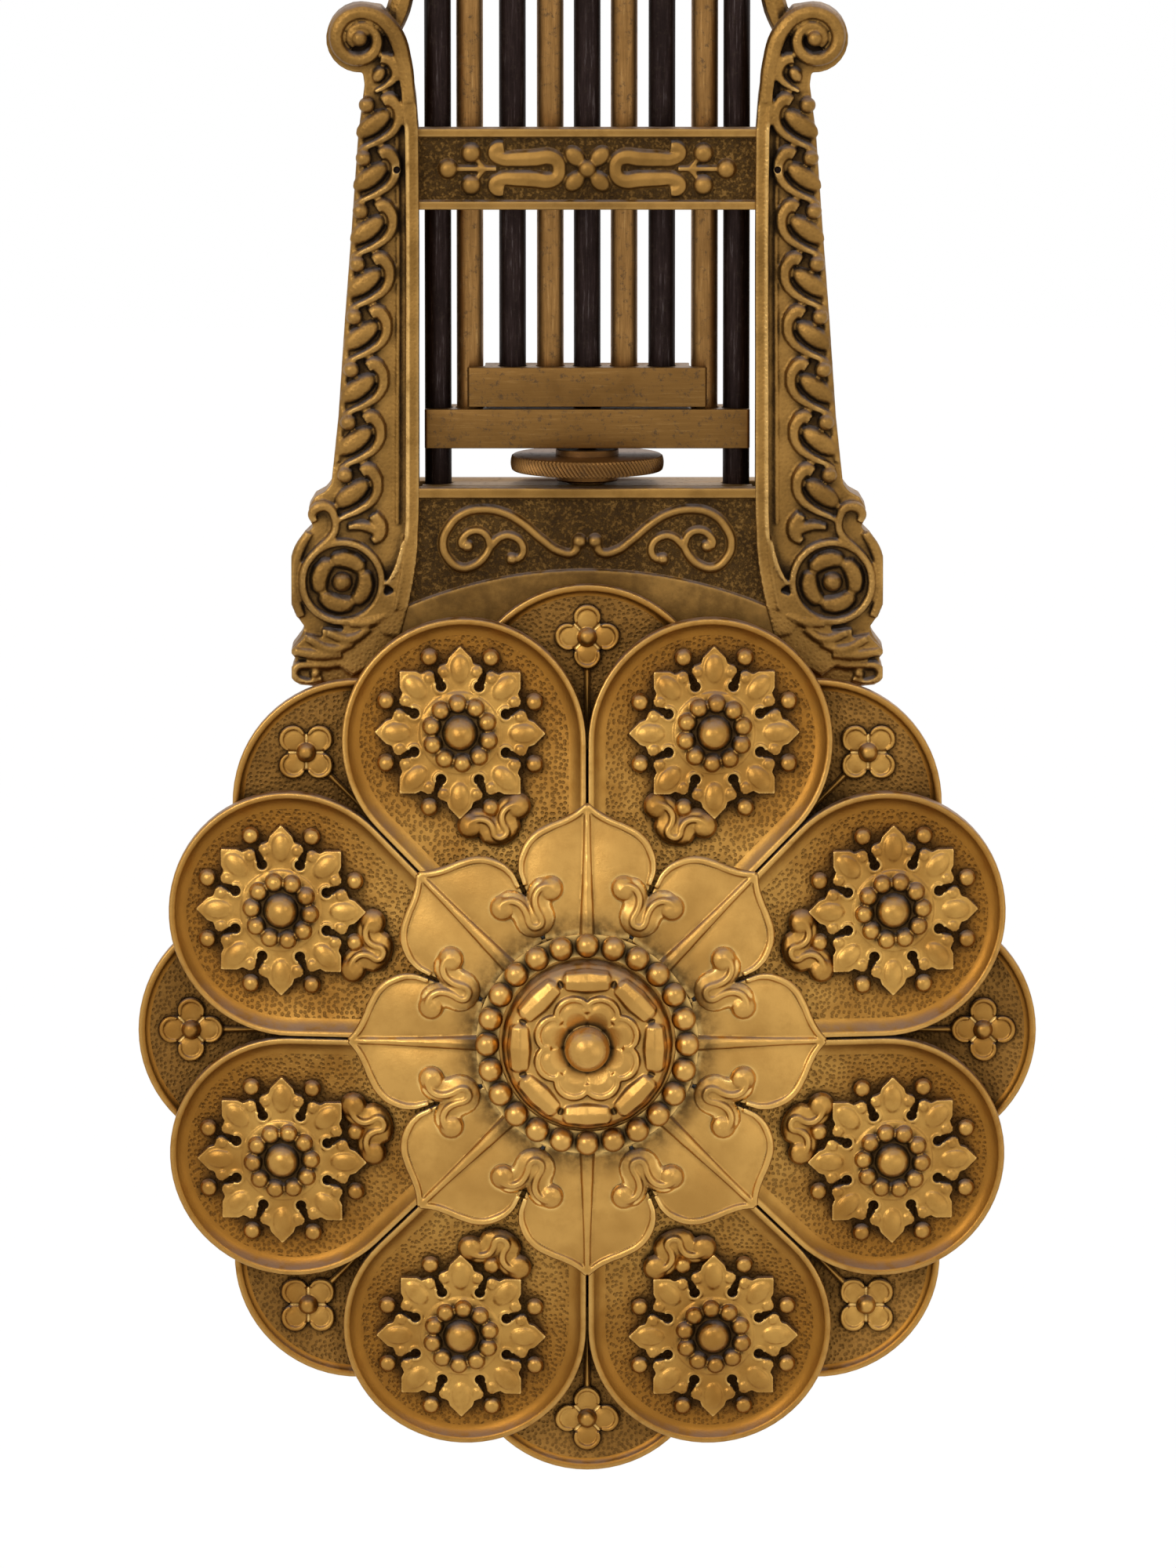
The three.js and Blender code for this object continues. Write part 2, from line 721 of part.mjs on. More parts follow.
function fourPetals(radius, turn) {
  const points = [];
  const count = 8;
  for (let i = 0; i < count; i += 1) {
    const angle = (i * 2 * Math.PI) / count;
    const reach = radius * (i % 2 === 1 ? petalNotchShare : 1);
    points.push([reach * Math.cos(angle + turn), reach * Math.sin(angle + turn)]);
  }
  return polygon(points);
}

function rightArm() {
  const body = plate(armShape(), -armFront, armBack, armBevel);
  const whole = join(body, filletStrip(), voluteRibbonPiece(), ...crest(), ...armBeads(), ...roundel());
  const crossMiddle = crossLow + crossHeight / 2;
  const mortiseHalf = tenonHeight / 2 + seat;
  const mortise = block(armInner - overrun, armInner + tenonLength + seat, -crossFloor - seat,
    -crossFloor + tenonThick + seat, crossMiddle - mortiseHalf, crossMiddle + mortiseHalf);
  const pinHole = rodY(dowelRadius + fit, armInner + dowelInset, crossMiddle, -armFront - overrun,
    armBack + overrun);
  const screwHole = rodY(screwRadius + fit, armScrewX, screwRise, armBack - armScrewGrip - seat,
    armBack + overrun);
  return cut(whole, mortise, pinHole, screwHole);
}

function mirrored(geometry) {
  const flipped = geometry.clone().scale(-1, 1, 1);
  flipped.setIndex(Array.from(flipped.index.array).reverse());
  return flipped;
}

// Cross bar in front of the rods, with a raised rim and a tenon at each end
function crossBar() {
  const half = armInner - seat;
  const high = crossLow + crossHeight;
  const front = -crossFloor - crossProud;
  const body = block(-half, half, front, crossThick - crossFloor, crossLow, high);
  const recess = block(-half + crossRim, half - crossRim, front - overrun, -crossFloor,
    crossLow + crossRim, high - crossRim);
  const middle = crossLow + crossHeight / 2;
  const reach = half + tenonLength;
  const tenon = block(-reach, reach, -crossFloor, -crossFloor + tenonThick,
    middle - tenonHeight / 2, middle + tenonHeight / 2);
  const holes = [-1, 1].map((side) => {
    return rodY(dowelRadius + fit, side * (armInner + dowelInset), middle, -crossFloor - overrun, overrun);
  });
  return cut(join(cut(body, recess), tenon), ...holes);
}

function dowel(side) {
  const middle = crossLow + crossHeight / 2;
  return rodY(dowelRadius, side * (armInner + dowelInset), middle, -armFront + seat, armBack - seat);
}

// Base panel: fits between the arms, and its lower edge sits on the bob's round case
function panelShape() {
  const side = armInnerShares.slice(0, 5).map(armPoint).map(([x, z]) => [x - seat, z]);
  const low = coverRadius + seat;
  const turn = Math.acos(tongueHalf / low);
  const shape = polygon([[-side[4][0], panelTop], ...side.toReversed().map(([x, z]) => [-x, z])]);
  shape.absarc(0, 0, low, Math.PI - turn, turn, true);
  for (const [x, z] of side) shape.lineTo(x, z);
  shape.lineTo(side[4][0], panelTop);
  shape.closePath();
  return shape;
}

function basePanel() {
  const shape = panelShape();
  const floor = plate(shape, -panelFloor, -panelBack);
  const half = armInner - seat;
  const rim = block(-half, half, -panelFloor - panelProud, -panelBack, panelTop - panelRim, panelTop);
  const disc = rodY(bobRadius + padMargin, 0, 0, -padFront, -panelBack - seat, 2 * discSides);
  const pad = common(plate(shape, -padFront, -panelBack), disc);
  const screws = [-1, 1].flatMap((side) => [
    rodY(screwRadius + fit, side * panelScrewX, screwRise, -panelBack - panelScrewGrip, overrun),
    rodY(screwRadius + fit, side * bobScrewX, bobScrewRise, -padFront - overrun, overrun),
  ]);
  return cut(join(floor, rim, pad), ...screws);
}

// Guide block: a bar behind the panel with a flange across the arms' backs. It is slotted for the
// outer steel rods, bored for the nut's spigot, and has a pocket for the keeper collar.
function guideBlock() {
  const low = panelTop - blockHeight;
  const half = armInner - seat;
  const flange = armBack + seat;
  const flangeHalf = armInner + flangeReach;
  const plan = polygon([
    [-half, -blockFront], [half, -blockFront], [half, flange], [flangeHalf, flange],
    [flangeHalf, blockBack], [-flangeHalf, blockBack], [-flangeHalf, flange], [-half, flange],
  ]);
  const slotHalf = rodRadius + fit;
  const slots = [-1, 1].flatMap((side) => [
    rodZ(slotHalf, side * steelOuterX, 0, low - overrun, panelTop + overrun),
    block(Math.min(side * steelOuterX, side * (half + overrun)),
      Math.max(side * steelOuterX, side * (half + overrun)), -slotHalf, slotHalf - fit / 2,
      low - overrun, panelTop + overrun),
  ]);
  const spigotBore = rodZ(nutSpigotRadius + seat, 0, 0, collarTop, panelTop + overrun);
  const rodBore = rodZ(threadRadius + seat, 0, 0, low - overrun, panelTop);
  const pocketHalf = collarRadius + seat;
  const pocket = block(-pocketHalf, pocketHalf, -blockFront + fit, blockBack + overrun,
    collarTop - collarHeight - seat, collarTop + seat);
  const armScrews = [-1, 1].map((side) => {
    return rodY(screwRadius + fit, side * armScrewX, screwRise, 0, blockBack + overrun);
  });
  const panelScrews = [-1, 1].map((side) => {
    return rodY(screwRadius + fit, side * panelScrewX, screwRise, -blockFront - overrun, blockBack + overrun);
  });
  return cut(slab(plan, low, panelTop), ...slots, spigotBore, rodBore, pocket, ...armScrews, ...panelScrews);
}

// Screw with its head at the back and its point to the front, and a slot across the head
function screw(x, z, headSeat, point) {
  const shank = rodY(screwRadius, x, z, point, headSeat + screwHeadHeight / 2);
  const head = rodY(screwHeadRadius, x, z, headSeat, headSeat + screwHeadHeight, rodSides);
  const slotHalf = screwRadius / 4;
  const back = headSeat + screwHeadHeight;
  const slot = block(x - screwHeadRadius - overrun, x + screwHeadRadius + overrun,
    back - screwHeadHeight / 2, back + overrun, z - slotHalf, z + slotHalf);
  return cut(join(shank, head), slot);
}

// Frame and bob hang together. Their heights are above the middle of the bob.
const frame = new THREE.Group();
frame.position.z = bobZ;
parts.add(frame);

function buildFrame() {
  const arm = rightArm();
  add(frame, 'lyre_arm_right', arm, bronze);
  add(frame, 'lyre_arm_left', mirrored(arm), bronze);
  add(frame, 'cross_bar', crossBar(), bronze);
  add(frame, 'base_panel', basePanel(), bronze);
  add(frame, 'guide_block', guideBlock(), brass);
  for (const [hand, side] of [['left', -1], ['right', 1]]) {
    const armScrew = screw(side * armScrewX, screwRise, blockBack + seat, armBack - armScrewGrip);
    const panelPoint = -panelBack - panelScrewGrip + seat;
    const panelScrew = screw(side * panelScrewX, screwRise, blockBack + seat, panelPoint);
    const bobScrew = screw(side * bobScrewX, bobScrewRise, -panelBack + seat, -backSeat - bobScrewGrip);
    add(frame, `dowel_${hand}`, dowel(side), steel);
    add(frame, `arm_screw_${hand}`, armScrew, steel);
    add(frame, `panel_screw_${hand}`, panelScrew, steel);
    add(frame, `bob_screw_${hand}`, bobScrew, steel);
  }
}

// One petal: a circle that touches the two lines to its neighbours, so its inner end is a point.
// A smaller share about the circle's centre is the same outline moved inwards.
function petalRing(reach, groove, share, angle, depthAt) {
  const sine = Math.sin(Math.PI / lobeCount);
  const centre = reach / (1 + sine);
  const radius = (reach - centre - groove) * share;
  const turn = Math.PI / 2 + Math.PI / lobeCount;
  const ring = [];
  for (let i = 0; i <= arcSteps; i += 1) {
    const sweep = -turn + (2 * turn * i) / arcSteps;
    ring.push([centre + radius * Math.cos(sweep), radius * Math.sin(sweep)]);
  }
  ring.push([centre - radius / sine, 0]);
  return ring.map(([along, across]) => {
    const [x, z] = aboutMiddle(along, across, angle);
    return [x, -depthAt(along), z];
  });
}

function petal(reach, groove, angle, rim, fall, dish, thick, frontAt) {
  const sine = Math.sin(Math.PI / lobeCount);
  const centre = reach / (1 + sine);
  const radius = reach - centre - groove;
  const rimShare = (radius - rim) / radius;
  const floorShare = (radius - rim - fall) / radius;
  const backAt = (along) => frontAt(along) - thick;
  const floorAt = (along) => frontAt(along) - dish;
  const rings = [
    petalRing(reach, groove, 1, angle, backAt), petalRing(reach, groove, 1, angle, frontAt),
    petalRing(reach, groove, rimShare, angle, frontAt), petalRing(reach, groove, floorShare, angle, floorAt),
  ];
  const [x, z] = aboutMiddle(centre, 0, angle);
  return loft(rings, [x, -backAt(centre), z], [x, -floorAt(centre), z]);
}

function lobeAngles(half) {
  return [...Array(lobeCount).keys()].map((i) => ((i + half) * 2 * Math.PI) / lobeCount);
}

function frontAt(along) {
  return petalFront + (frontRadius - along) * petalSlope;
}

const boltBore = boltRadius + fit;
const hubFront = frontAt(hubRadius);
const hubBack = hubFront - petalThick;
const flowerX = bobRadius - flowerInset;

function smallFlower(angle) {
  const [x, z] = aboutMiddle(flowerX, 0, angle);
  const floor = backSeat + backThick - backDish;
  const flower = fourPetals(flowerRadius, angle);
  const petals = plate(flower, -floor - flowerThick, -floor + seat).translate(x, 0, z);
  const eye = ball(flowerBall, x, -floor - flowerThick, z);
  const start = flowerX - flowerRadius / 2;
  const corners = [[start, stemWidth / 2], [start - stemLength, stemWidth], [start - stemLength, -stemWidth],
    [start, -stemWidth / 2]].map(([along, across]) => aboutMiddle(along, across, angle));
  return join(petals, eye, plate(polygon(corners), -floor - flowerThick / 2, -floor + seat));
}

function backPlate() {
  const flat = () => backSeat + backThick;
  const lobes = lobeAngles(0).map((angle) => {
    return petal(bobRadius, 0, angle, backRim, backRim / 2, backDish, backThick, flat);
  });
  const hub = rodY(hubRadius - seat, 0, 0, -hubBack + seat, -backSeat, hubSides);
  const bolt = rodY(boltBore, 0, 0, -hubFront, overrun, screwSides);
  const screws = [-1, 1].map((side) => {
    return rodY(screwRadius + fit, side * bobScrewX, bobScrewRise, -backSeat - bobScrewGrip - seat, overrun);
  });
  return cut(join(...lobes, hub, ...lobeAngles(0).map(smallFlower)), bolt, ...screws);
}

function frontPlate() {
  const petals = lobeAngles(0.5).map((angle) => {
    return petal(frontRadius, petalGroove, angle, petalRim, petalFall, petalDish, petalThick, frontAt);
  });
  const hub = rodY(hubRadius, 0, 0, -hubFront, -hubBack, hubSides);
  const clear = rodY(hubRadius - seat, 0, 0, -hubBack, 0, hubSides);
  const bolt = rodY(boltBore, 0, 0, -hubFront - overrun, 0, screwSides);
  const trim = rodY(hubRadius, 0, 0, -hubFront - 2 * overrun, -hubFront, hubSides);
  return cut(join(...petals, hub), clear, trim, bolt);
}

// Rosette of eight leaves with three points each, domed to a raised eye
const rosetteTipShares = [1, 0.87, 0.64, 0.87];
const rosetteBellyShare = 0.5;
const rosetteRoundShare = 0.7;
const petalCentre = frontRadius / (1 + Math.sin(Math.PI / lobeCount));
const rosetteX = petalCentre + rosetteShift;
const rosetteRadius = frontRadius - petalCentre - petalGroove - petalRim - petalFall - rosetteMargin;

function rosette(angle) {
  const floorAt = (along) => frontAt(along) - petalDish + seat;
  const count = rosetteTipShares.length * lobeCount;
  const ringAt = (share, round, lift) => [...Array(count).keys()].map((i) => {
    const sweep = (i * 2 * Math.PI) / count;
    const tip = rosetteTipShares[i % rosetteTipShares.length];
    const radius = rosetteRadius * share * (tip + (1 - tip) * round);
    const along = rosetteX + radius * Math.cos(sweep);
    const [x, z] = aboutMiddle(along, radius * Math.sin(sweep), angle);
    return [x, -floorAt(along) - lift, z];
  });
  const [x, z] = aboutMiddle(rosetteX, 0, angle);
  const rings = [
    ringAt(1, 0, 0), ringAt(1, 0, rosetteEdge),
    ringAt(rosetteBellyShare, rosetteRoundShare, rosetteBelly),
  ];
  return loft(rings, [x, -floorAt(rosetteX), z], [x, -floorAt(rosetteX) - rosetteEye, z]);
}

// Calyx of eight pointed leaves. Shares of its radius and turns within half a leaf, tip first.
const calyxLeafShares = [[1, 0], [0.93, 0.3], [0.83, 0.82]];
const calyxValleyShare = 0.7;
const calyxRimShare = 0.94;

function calyxOutline() {
  const half = Math.PI / lobeCount;
  const points = [];
  for (let leaf = 0; leaf < lobeCount; leaf += 1) {
    const axis = leaf * 2 * half;
    const rising = calyxLeafShares.slice(1).toReversed().map(([r, turn]) => [r, axis - turn * half]);
    const falling = calyxLeafShares.map(([r, turn]) => [r, axis + turn * half]);
    points.push([calyxValleyShare, axis - half], ...rising, ...falling);
  }
  return points.map(([share, angle]) => [share * calyxRadius, angle]);
}

function calyxFrontAt(radius) {
  return frontAt(calyxRadius) + seat + calyxThick + (calyxRadius - radius) * calyxSlope;
}

// The petals' rims stand furthest forward on the lines between them
function calyxBackAt(radius) {
  return frontAt(radius * Math.cos(Math.PI / lobeCount)) + seat;
}

const calyxSeat = calyxFrontAt(calyxSeatRadius) - calyxDish;
const calyxHub = calyxBackAt(hubRadius);

function calyx() {
  const outline = calyxOutline();
  const ringOf = (share, depthAt) => outline.map(([radius, angle]) => {
    const reach = radius * share;
    return [reach * Math.cos(angle), -depthAt(reach), reach * Math.sin(angle)];
  });
  const circle = (radius, depth) => outline.map(([, angle]) => {
    return [radius * Math.cos(angle), -depth, radius * Math.sin(angle)];
  });
  const rings = [
    ringOf(1, calyxBackAt), ringOf(1, calyxFrontAt),
    ringOf(calyxRimShare, (radius) => calyxFrontAt(radius) - calyxDish), circle(calyxSeatRadius, calyxSeat),
    circle(boltBore, calyxSeat), circle(boltBore, calyxHub), circle(hubRadius, calyxHub),
  ];
  return join(loft(rings), ...lobeAngles(0).map(midrib));
}

function midrib(angle) {
  const start = calyxSeatRadius + seat;
  const end = calyxRadius - ribWidth;
  const low = (radius) => calyxFrontAt(radius) - calyxDish - seat;
  const corners = (radius, wide, rise) => [[-wide, 0], [wide, 0], [0, rise]].map(([across, lift]) => {
    const [x, z] = aboutMiddle(radius, across, angle);
    return [x, -low(radius) - lift, z];
  });
  const tall = ribRise + seat;
  const rings = [corners(start, ribWidth / 2, tall), corners(end, ribWidth / 8, tall / 2)];
  const middle = (radius) => {
    const [x, z] = aboutMiddle(radius, 0, angle);
    return [x, -low(radius) - seat, z];
  };
  return loft(rings, middle(start), middle(end));
}

const ringBack = calyxSeat + seat;

function beadRing() {
  const bandFront = ringBack + ringBandThick;
  const band = turnedY([
    [ringRadius - ringBandHalf, -ringBack], [ringRadius + ringBandHalf, -ringBack],
    [ringRadius + ringBandHalf, -bandFront], [ringRadius - ringBandHalf, -bandFront],
  ], hubSides);
  const beads = [...Array(ringBeads).keys()].map((i) => {
    const angle = (i * 2 * Math.PI) / ringBeads;
    const y = -ringBack - ringBead;
    return ball(ringBead, ringRadius * Math.cos(angle), y, ringRadius * Math.sin(angle));
  });
  return join(band, ...beads);
}

// Boss: shares of its radius and rise, with the depth of the eight scallops at each ring
const bossBack = calyxSeat + seat;
const bossSocketShare = 0.5;
const bossSocket = bossBack + bossRise * bossSocketShare;
const bossShares = [
  [1, 0, 0], [1, 0.2, 0], [0.92, 0.46, 0.03], [0.82, 0.5, 0.05], [0.72, 0.4, 0.05],
  [0.62, 0.56, 0.1], [0.42, 0.5, 0], [0.36, 0.64, 0], [0.26, 0.68, 0], [0.18, 0.92, 0],
];

function centreBoss() {
  const count = 3 * lobeCount;
  const rings = bossShares.map(([reach, rise, scallop]) => {
    return [...Array(count).keys()].map((i) => {
      const angle = (i * 2 * Math.PI) / count;
      const radius = bossRadius * reach * (1 + scallop * Math.cos(angle * lobeCount));
      return [radius * Math.cos(angle), -bossBack - bossRise * rise, radius * Math.sin(angle)];
    });
  });
  const body = loft(rings, [0, -bossBack, 0], [0, -bossBack - bossRise, 0]);
  const socket = rodY(boltBore, 0, 0, seat - bossSocket, -bossBack + overrun);
  return cut(body, socket);
}

// Bolt, weight, cover and nut behind the plates
function throughBolt() {
  return rodY(boltRadius, 0, 0, 2 * seat - bossSocket, coverBack - seat);
}

function rearCover() {
  const floor = coverBack - coverWall;
  const dimple = coverBack - dimpleDepth;
  return turnedY([
    [coverRadius, seat - backSeat], [coverRadius, coverBack], [dimpleRadius, coverBack],
    [dimpleRadius, dimple], [boltBore, dimple], [boltBore, dimple - coverWall],
    [dimpleRadius + coverWall, dimple - coverWall], [dimpleRadius + coverWall, floor],
    [coverRadius - coverWall, floor], [coverRadius - coverWall, seat - backSeat],
  ]);
}

function leadWeight() {
  const front = seat - backSeat;
  const back = coverBack - coverWall - seat;
  const recess = coverBack - dimpleDepth - coverWall - seat;
  const outer = coverRadius - coverWall - seat;
  const recessRadius = dimpleRadius + coverWall + seat;
  return turnedY([
    [boltBore, front], [outer, front], [outer, back], [recessRadius, back], [recessRadius, recess],
    [boltBore, recess],
  ], hubSides);
}

function rearNut() {
  const front = coverBack - dimpleDepth + seat / 2;
  const hexagon = rodY(rearNutRadius, 0, 0, front, front + rearNutHeight, 6);
  return cut(hexagon, rodY(boltBore, 0, 0, front - overrun, front + rearNutHeight + overrun));
}

function buildBob() {
  add(frame, 'back_plate', backPlate(), gilt);
  add(frame, 'front_plate', frontPlate(), gilt);
  lobeAngles(0.5).forEach((angle, i) => add(frame, `rosette_${i + 1}`, rosette(angle), gilt));
  add(frame, 'calyx', calyx(), gilt);
  add(frame, 'bead_ring', beadRing(), gilt);
  add(frame, 'centre_boss', centreBoss(), gilt);
  add(frame, 'through_bolt', throughBolt(), steel);
  add(frame, 'lead_weight', leadWeight(), lead);
  add(frame, 'rear_cover', rearCover(), brass);
  add(frame, 'rear_nut', rearNut(), brass);
}

buildSuspension();
buildGrid();
buildNut();
buildFrame();
buildBob();

export default parts;
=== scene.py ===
# %% [markdown]
# A gilt gridiron pendulum, dressed for its portrait.
# The machine drawing of the pendulum is loaded first, as a fixed frame: every rod, bar and plate
# at its real size. Blender then gives each piece its true surface. The load comes before anything
# else, because every new piece takes its place from the frame.

# %% Load the frame
import json
import math

import bpy
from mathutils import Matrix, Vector


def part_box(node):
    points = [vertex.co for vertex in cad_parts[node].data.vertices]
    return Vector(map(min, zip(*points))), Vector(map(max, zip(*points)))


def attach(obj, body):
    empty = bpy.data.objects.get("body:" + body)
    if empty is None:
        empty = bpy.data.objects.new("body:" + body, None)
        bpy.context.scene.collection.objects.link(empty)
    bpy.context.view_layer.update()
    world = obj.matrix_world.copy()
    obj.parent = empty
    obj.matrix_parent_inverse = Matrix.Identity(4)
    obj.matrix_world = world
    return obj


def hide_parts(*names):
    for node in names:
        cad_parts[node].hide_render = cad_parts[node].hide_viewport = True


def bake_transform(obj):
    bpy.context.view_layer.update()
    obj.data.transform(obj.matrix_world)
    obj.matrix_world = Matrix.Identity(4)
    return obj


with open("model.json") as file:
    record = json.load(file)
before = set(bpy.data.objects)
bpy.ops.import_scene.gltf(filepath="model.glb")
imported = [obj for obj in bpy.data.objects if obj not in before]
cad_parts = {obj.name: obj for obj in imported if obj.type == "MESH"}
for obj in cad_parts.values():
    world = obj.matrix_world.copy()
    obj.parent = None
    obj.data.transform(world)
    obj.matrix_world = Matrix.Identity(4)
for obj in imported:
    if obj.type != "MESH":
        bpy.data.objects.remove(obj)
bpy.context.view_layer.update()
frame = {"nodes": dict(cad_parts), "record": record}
print("pieces in the frame:", len(frame["nodes"]))

# %% [markdown]
# The bob is the natural place to measure from: all its ornament is laid out round its middle.
# The back plate is as wide as the bob, so its box gives that middle and the bob's radius. New
# pieces are modelled in millimetres about this point and shrunk to metres at the very end, which
# keeps the numbers as a bench would read them.

# %% Measure the bob
MM = 0.001
LOBES = 8
TURN = 2 * math.pi
STEP = TURN / LOBES

plate_low, plate_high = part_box("back_plate")
BOB_RADIUS = (plate_high.x - plate_low.x) / 2 / MM
BOB_HEIGHT = (plate_high.z + plate_low.z) / 2
print("bob radius in mm:", round(BOB_RADIUS, 2), "height of its middle:", round(BOB_HEIGHT, 4))


def span(node):
    """Left, right, front, back, low and high of a frame piece, in mm about the middle of the bob."""
    low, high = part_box(node)
    low_z = (low.z - BOB_HEIGHT) / MM
    high_z = (high.z - BOB_HEIGHT) / MM
    return low.x / MM, high.x / MM, -low.y / MM, -high.y / MM, low_z, high_z


# %% [markdown]
# The photograph was taken with a long lens from a little above, square to the front. A camera far
# away with a narrow view gives the same flat perspective. Its aim is the middle of the picture,
# which lies on the frame's lower bar.

# %% Set up the camera
VIEW_DISTANCE = 1350
VIEW_RISE = math.radians(8.3)
VIEW_HEIGHT = 192.6
AIM = Vector((0.1, 0, 29.2))


def place_camera():
    """Camera aimed at the middle of the picture from in front and above."""
    aim = Vector((AIM.x * MM, 0, BOB_HEIGHT + AIM.z * MM))
    back = Vector((0, -math.cos(VIEW_RISE), math.sin(VIEW_RISE)))
    bpy.ops.object.camera_add(location=aim + back * VIEW_DISTANCE * MM)
    camera = bpy.context.object
    camera.rotation_mode = "QUATERNION"
    camera.rotation_quaternion = (-back).to_track_quat("-Z", "Y")
    camera.data.lens = camera.data.sensor_width * VIEW_DISTANCE / VIEW_HEIGHT
    camera.data.clip_start = 0.05
    bpy.context.scene.camera = camera
    print("lens in mm:", round(camera.data.lens, 1))


place_camera()

# %% [markdown]
# Polished metal is mostly a picture of what surrounds it, so a studio for metal is built from
# large pale surfaces. The floor is a wide matt sheet well below the bob. The lamps are soft
# panels: a strong one high on the left, a weaker one on the right, a low one that stands for the
# light that a white table throws back up, one behind that lines the edges, and a small one that
# puts a glint on what is domed.

# %% Light the studio
FLOOR_DROP = 330
FLOOR_SIZE = 8
LAMPS = {
    "key_panel": ((-0.55, -0.85, 0.5), 0.45, 3.4),
    "fill_panel": ((0.9, -0.8, -0.1), 0.9, 1.2),
    "table_glow": ((0.05, -0.75, -0.8), 0.6, 2.0),
    "rim_panel": ((0.3, 0.7, 0.6), 0.6, 1.0),
    "glint_panel": ((0.25, -0.8, 0.6), 0.14, 0.7),
}
SHEET_COLOUR = (0.86, 0.86, 0.85, 1)
SHEET_ROUGHNESS = 0.9
AMBIENT = 0.75
FLOOR_WHITE = 0.9
FLOOR_GLOW = 1.04


def light_studio():
    """Floor, lamps and a world that is white wherever it is seen or mirrored."""
    bpy.ops.mesh.primitive_plane_add(size=FLOOR_SIZE, location=(0, 0, BOB_HEIGHT - FLOOR_DROP * MM))
    floor = bpy.context.object
    floor.name = "studio_floor"
    sheet = bpy.data.materials.new("floor_sheet")
    sheet.use_nodes = True
    shader = sheet.node_tree.nodes["Principled BSDF"]
    shader.inputs["Base Color"].default_value = SHEET_COLOUR
    shader.inputs["Roughness"].default_value = SHEET_ROUGHNESS
    floor.data.materials.append(sheet)
    whiten(sheet, shader)
    aim = Vector((0, 0, BOB_HEIGHT))
    for name, (place, size, power) in LAMPS.items():
        spot = aim + Vector(place)
        bpy.ops.object.light_add(type="AREA", location=spot)
        lamp = bpy.context.object
        lamp.name = name
        lamp.data.size = size
        lamp.data.energy = power
        lamp.rotation_mode = "QUATERNION"
        lamp.rotation_quaternion = (aim - spot).to_track_quat("-Z", "Y")
    print("lamps:", len(LAMPS))


def seen_or_mirrored(tree):
    """1 for rays that the camera, polished metal or glass sends out, and 0 for the light itself."""
    rays = tree.nodes.new("ShaderNodeLightPath")
    seen = rays.outputs["Is Camera Ray"]
    for kind in ("Is Glossy Ray", "Is Transmission Ray"):
        either = tree.nodes.new("ShaderNodeMath")
        either.operation = "MAXIMUM"
        tree.links.new(seen, either.inputs[0])
        tree.links.new(rays.outputs[kind], either.inputs[1])
        seen = either.outputs[0]
    return seen


def whiten(sheet, shader):
    """The floor looks white but keeps a share of its own shading, so that a shadow still shows."""
    tree = sheet.node_tree
    glow = tree.nodes.new("ShaderNodeEmission")
    glow.inputs["Strength"].default_value = FLOOR_GLOW
    share = tree.nodes.new("ShaderNodeMath")
    share.operation = "MULTIPLY"
    share.inputs[1].default_value = FLOOR_WHITE
    tree.links.new(seen_or_mirrored(tree), share.inputs[0])
    mix = tree.nodes.new("ShaderNodeMixShader")
    tree.links.new(share.outputs[0], mix.inputs["Fac"])
    tree.links.new(shader.outputs["BSDF"], mix.inputs[1])
    tree.links.new(glow.outputs["Emission"], mix.inputs[2])
    tree.links.new(mix.outputs["Shader"], tree.nodes["Material Output"].inputs["Surface"])


def white_world():
    """White for what the camera and the metal see, a softer grey for what the surfaces receive."""
    world = bpy.data.worlds.new("studio_air")
    bpy.context.scene.world = world
    world.use_nodes = True
    tree = world.node_tree
    strength = tree.nodes.new("ShaderNodeMapRange")
    strength.inputs["To Min"].default_value = AMBIENT
    strength.inputs["To Max"].default_value = 1
    tree.links.new(seen_or_mirrored(tree), strength.inputs["Value"])
    air = tree.nodes["Background"]
    air.inputs["Color"].default_value = (1, 1, 1, 1)
    tree.links.new(strength.outputs["Result"], air.inputs["Strength"])


light_studio()
white_world()
bpy.context.scene.view_settings.view_transform = "Standard"

# %% [markdown]
# A finish is a small network of shader nodes. Written one node at a time it is long and hard to
# read, so two helpers come first. Link wraps one output socket and lets Python arithmetic add the
# Math nodes: dirt * 0.5 + 0.1 is then a finished expression. Finish holds a material, adds any
# other node by its type, and knows the colour mix that every metal here needs.

# %% Write shader maths as Python
class Link:
    """One output socket of a finish, with ordinary arithmetic."""

    def __init__(self, finish, socket):
        self.finish = finish
        self.socket = socket

    def maths(self, operation, first, second):
        return self.finish.node("ShaderNodeMath", {"operation": operation}, {0: first, 1: second})

    def __add__(self, other):
        return self.maths("ADD", self, other)

    def __sub__(self, other):
        return self.maths("SUBTRACT", self, other)

    def __rsub__(self, other):
        return self.maths("SUBTRACT", other, self)

    def __mul__(self, other):
        return self.maths("MULTIPLY", self, other)

    def most(self, other):
        return self.maths("MAXIMUM", self, other)

    def between(self, low, high):
        """0 below low, 1 above high and a smooth rise between. A high under low turns it round."""
        settings = {"interpolation_type": "SMOOTHSTEP"}
        return self.finish.node("ShaderNodeMapRange", settings, {"Value": self, 1: low, 2: high})

    __radd__ = __add__
    __rmul__ = __mul__


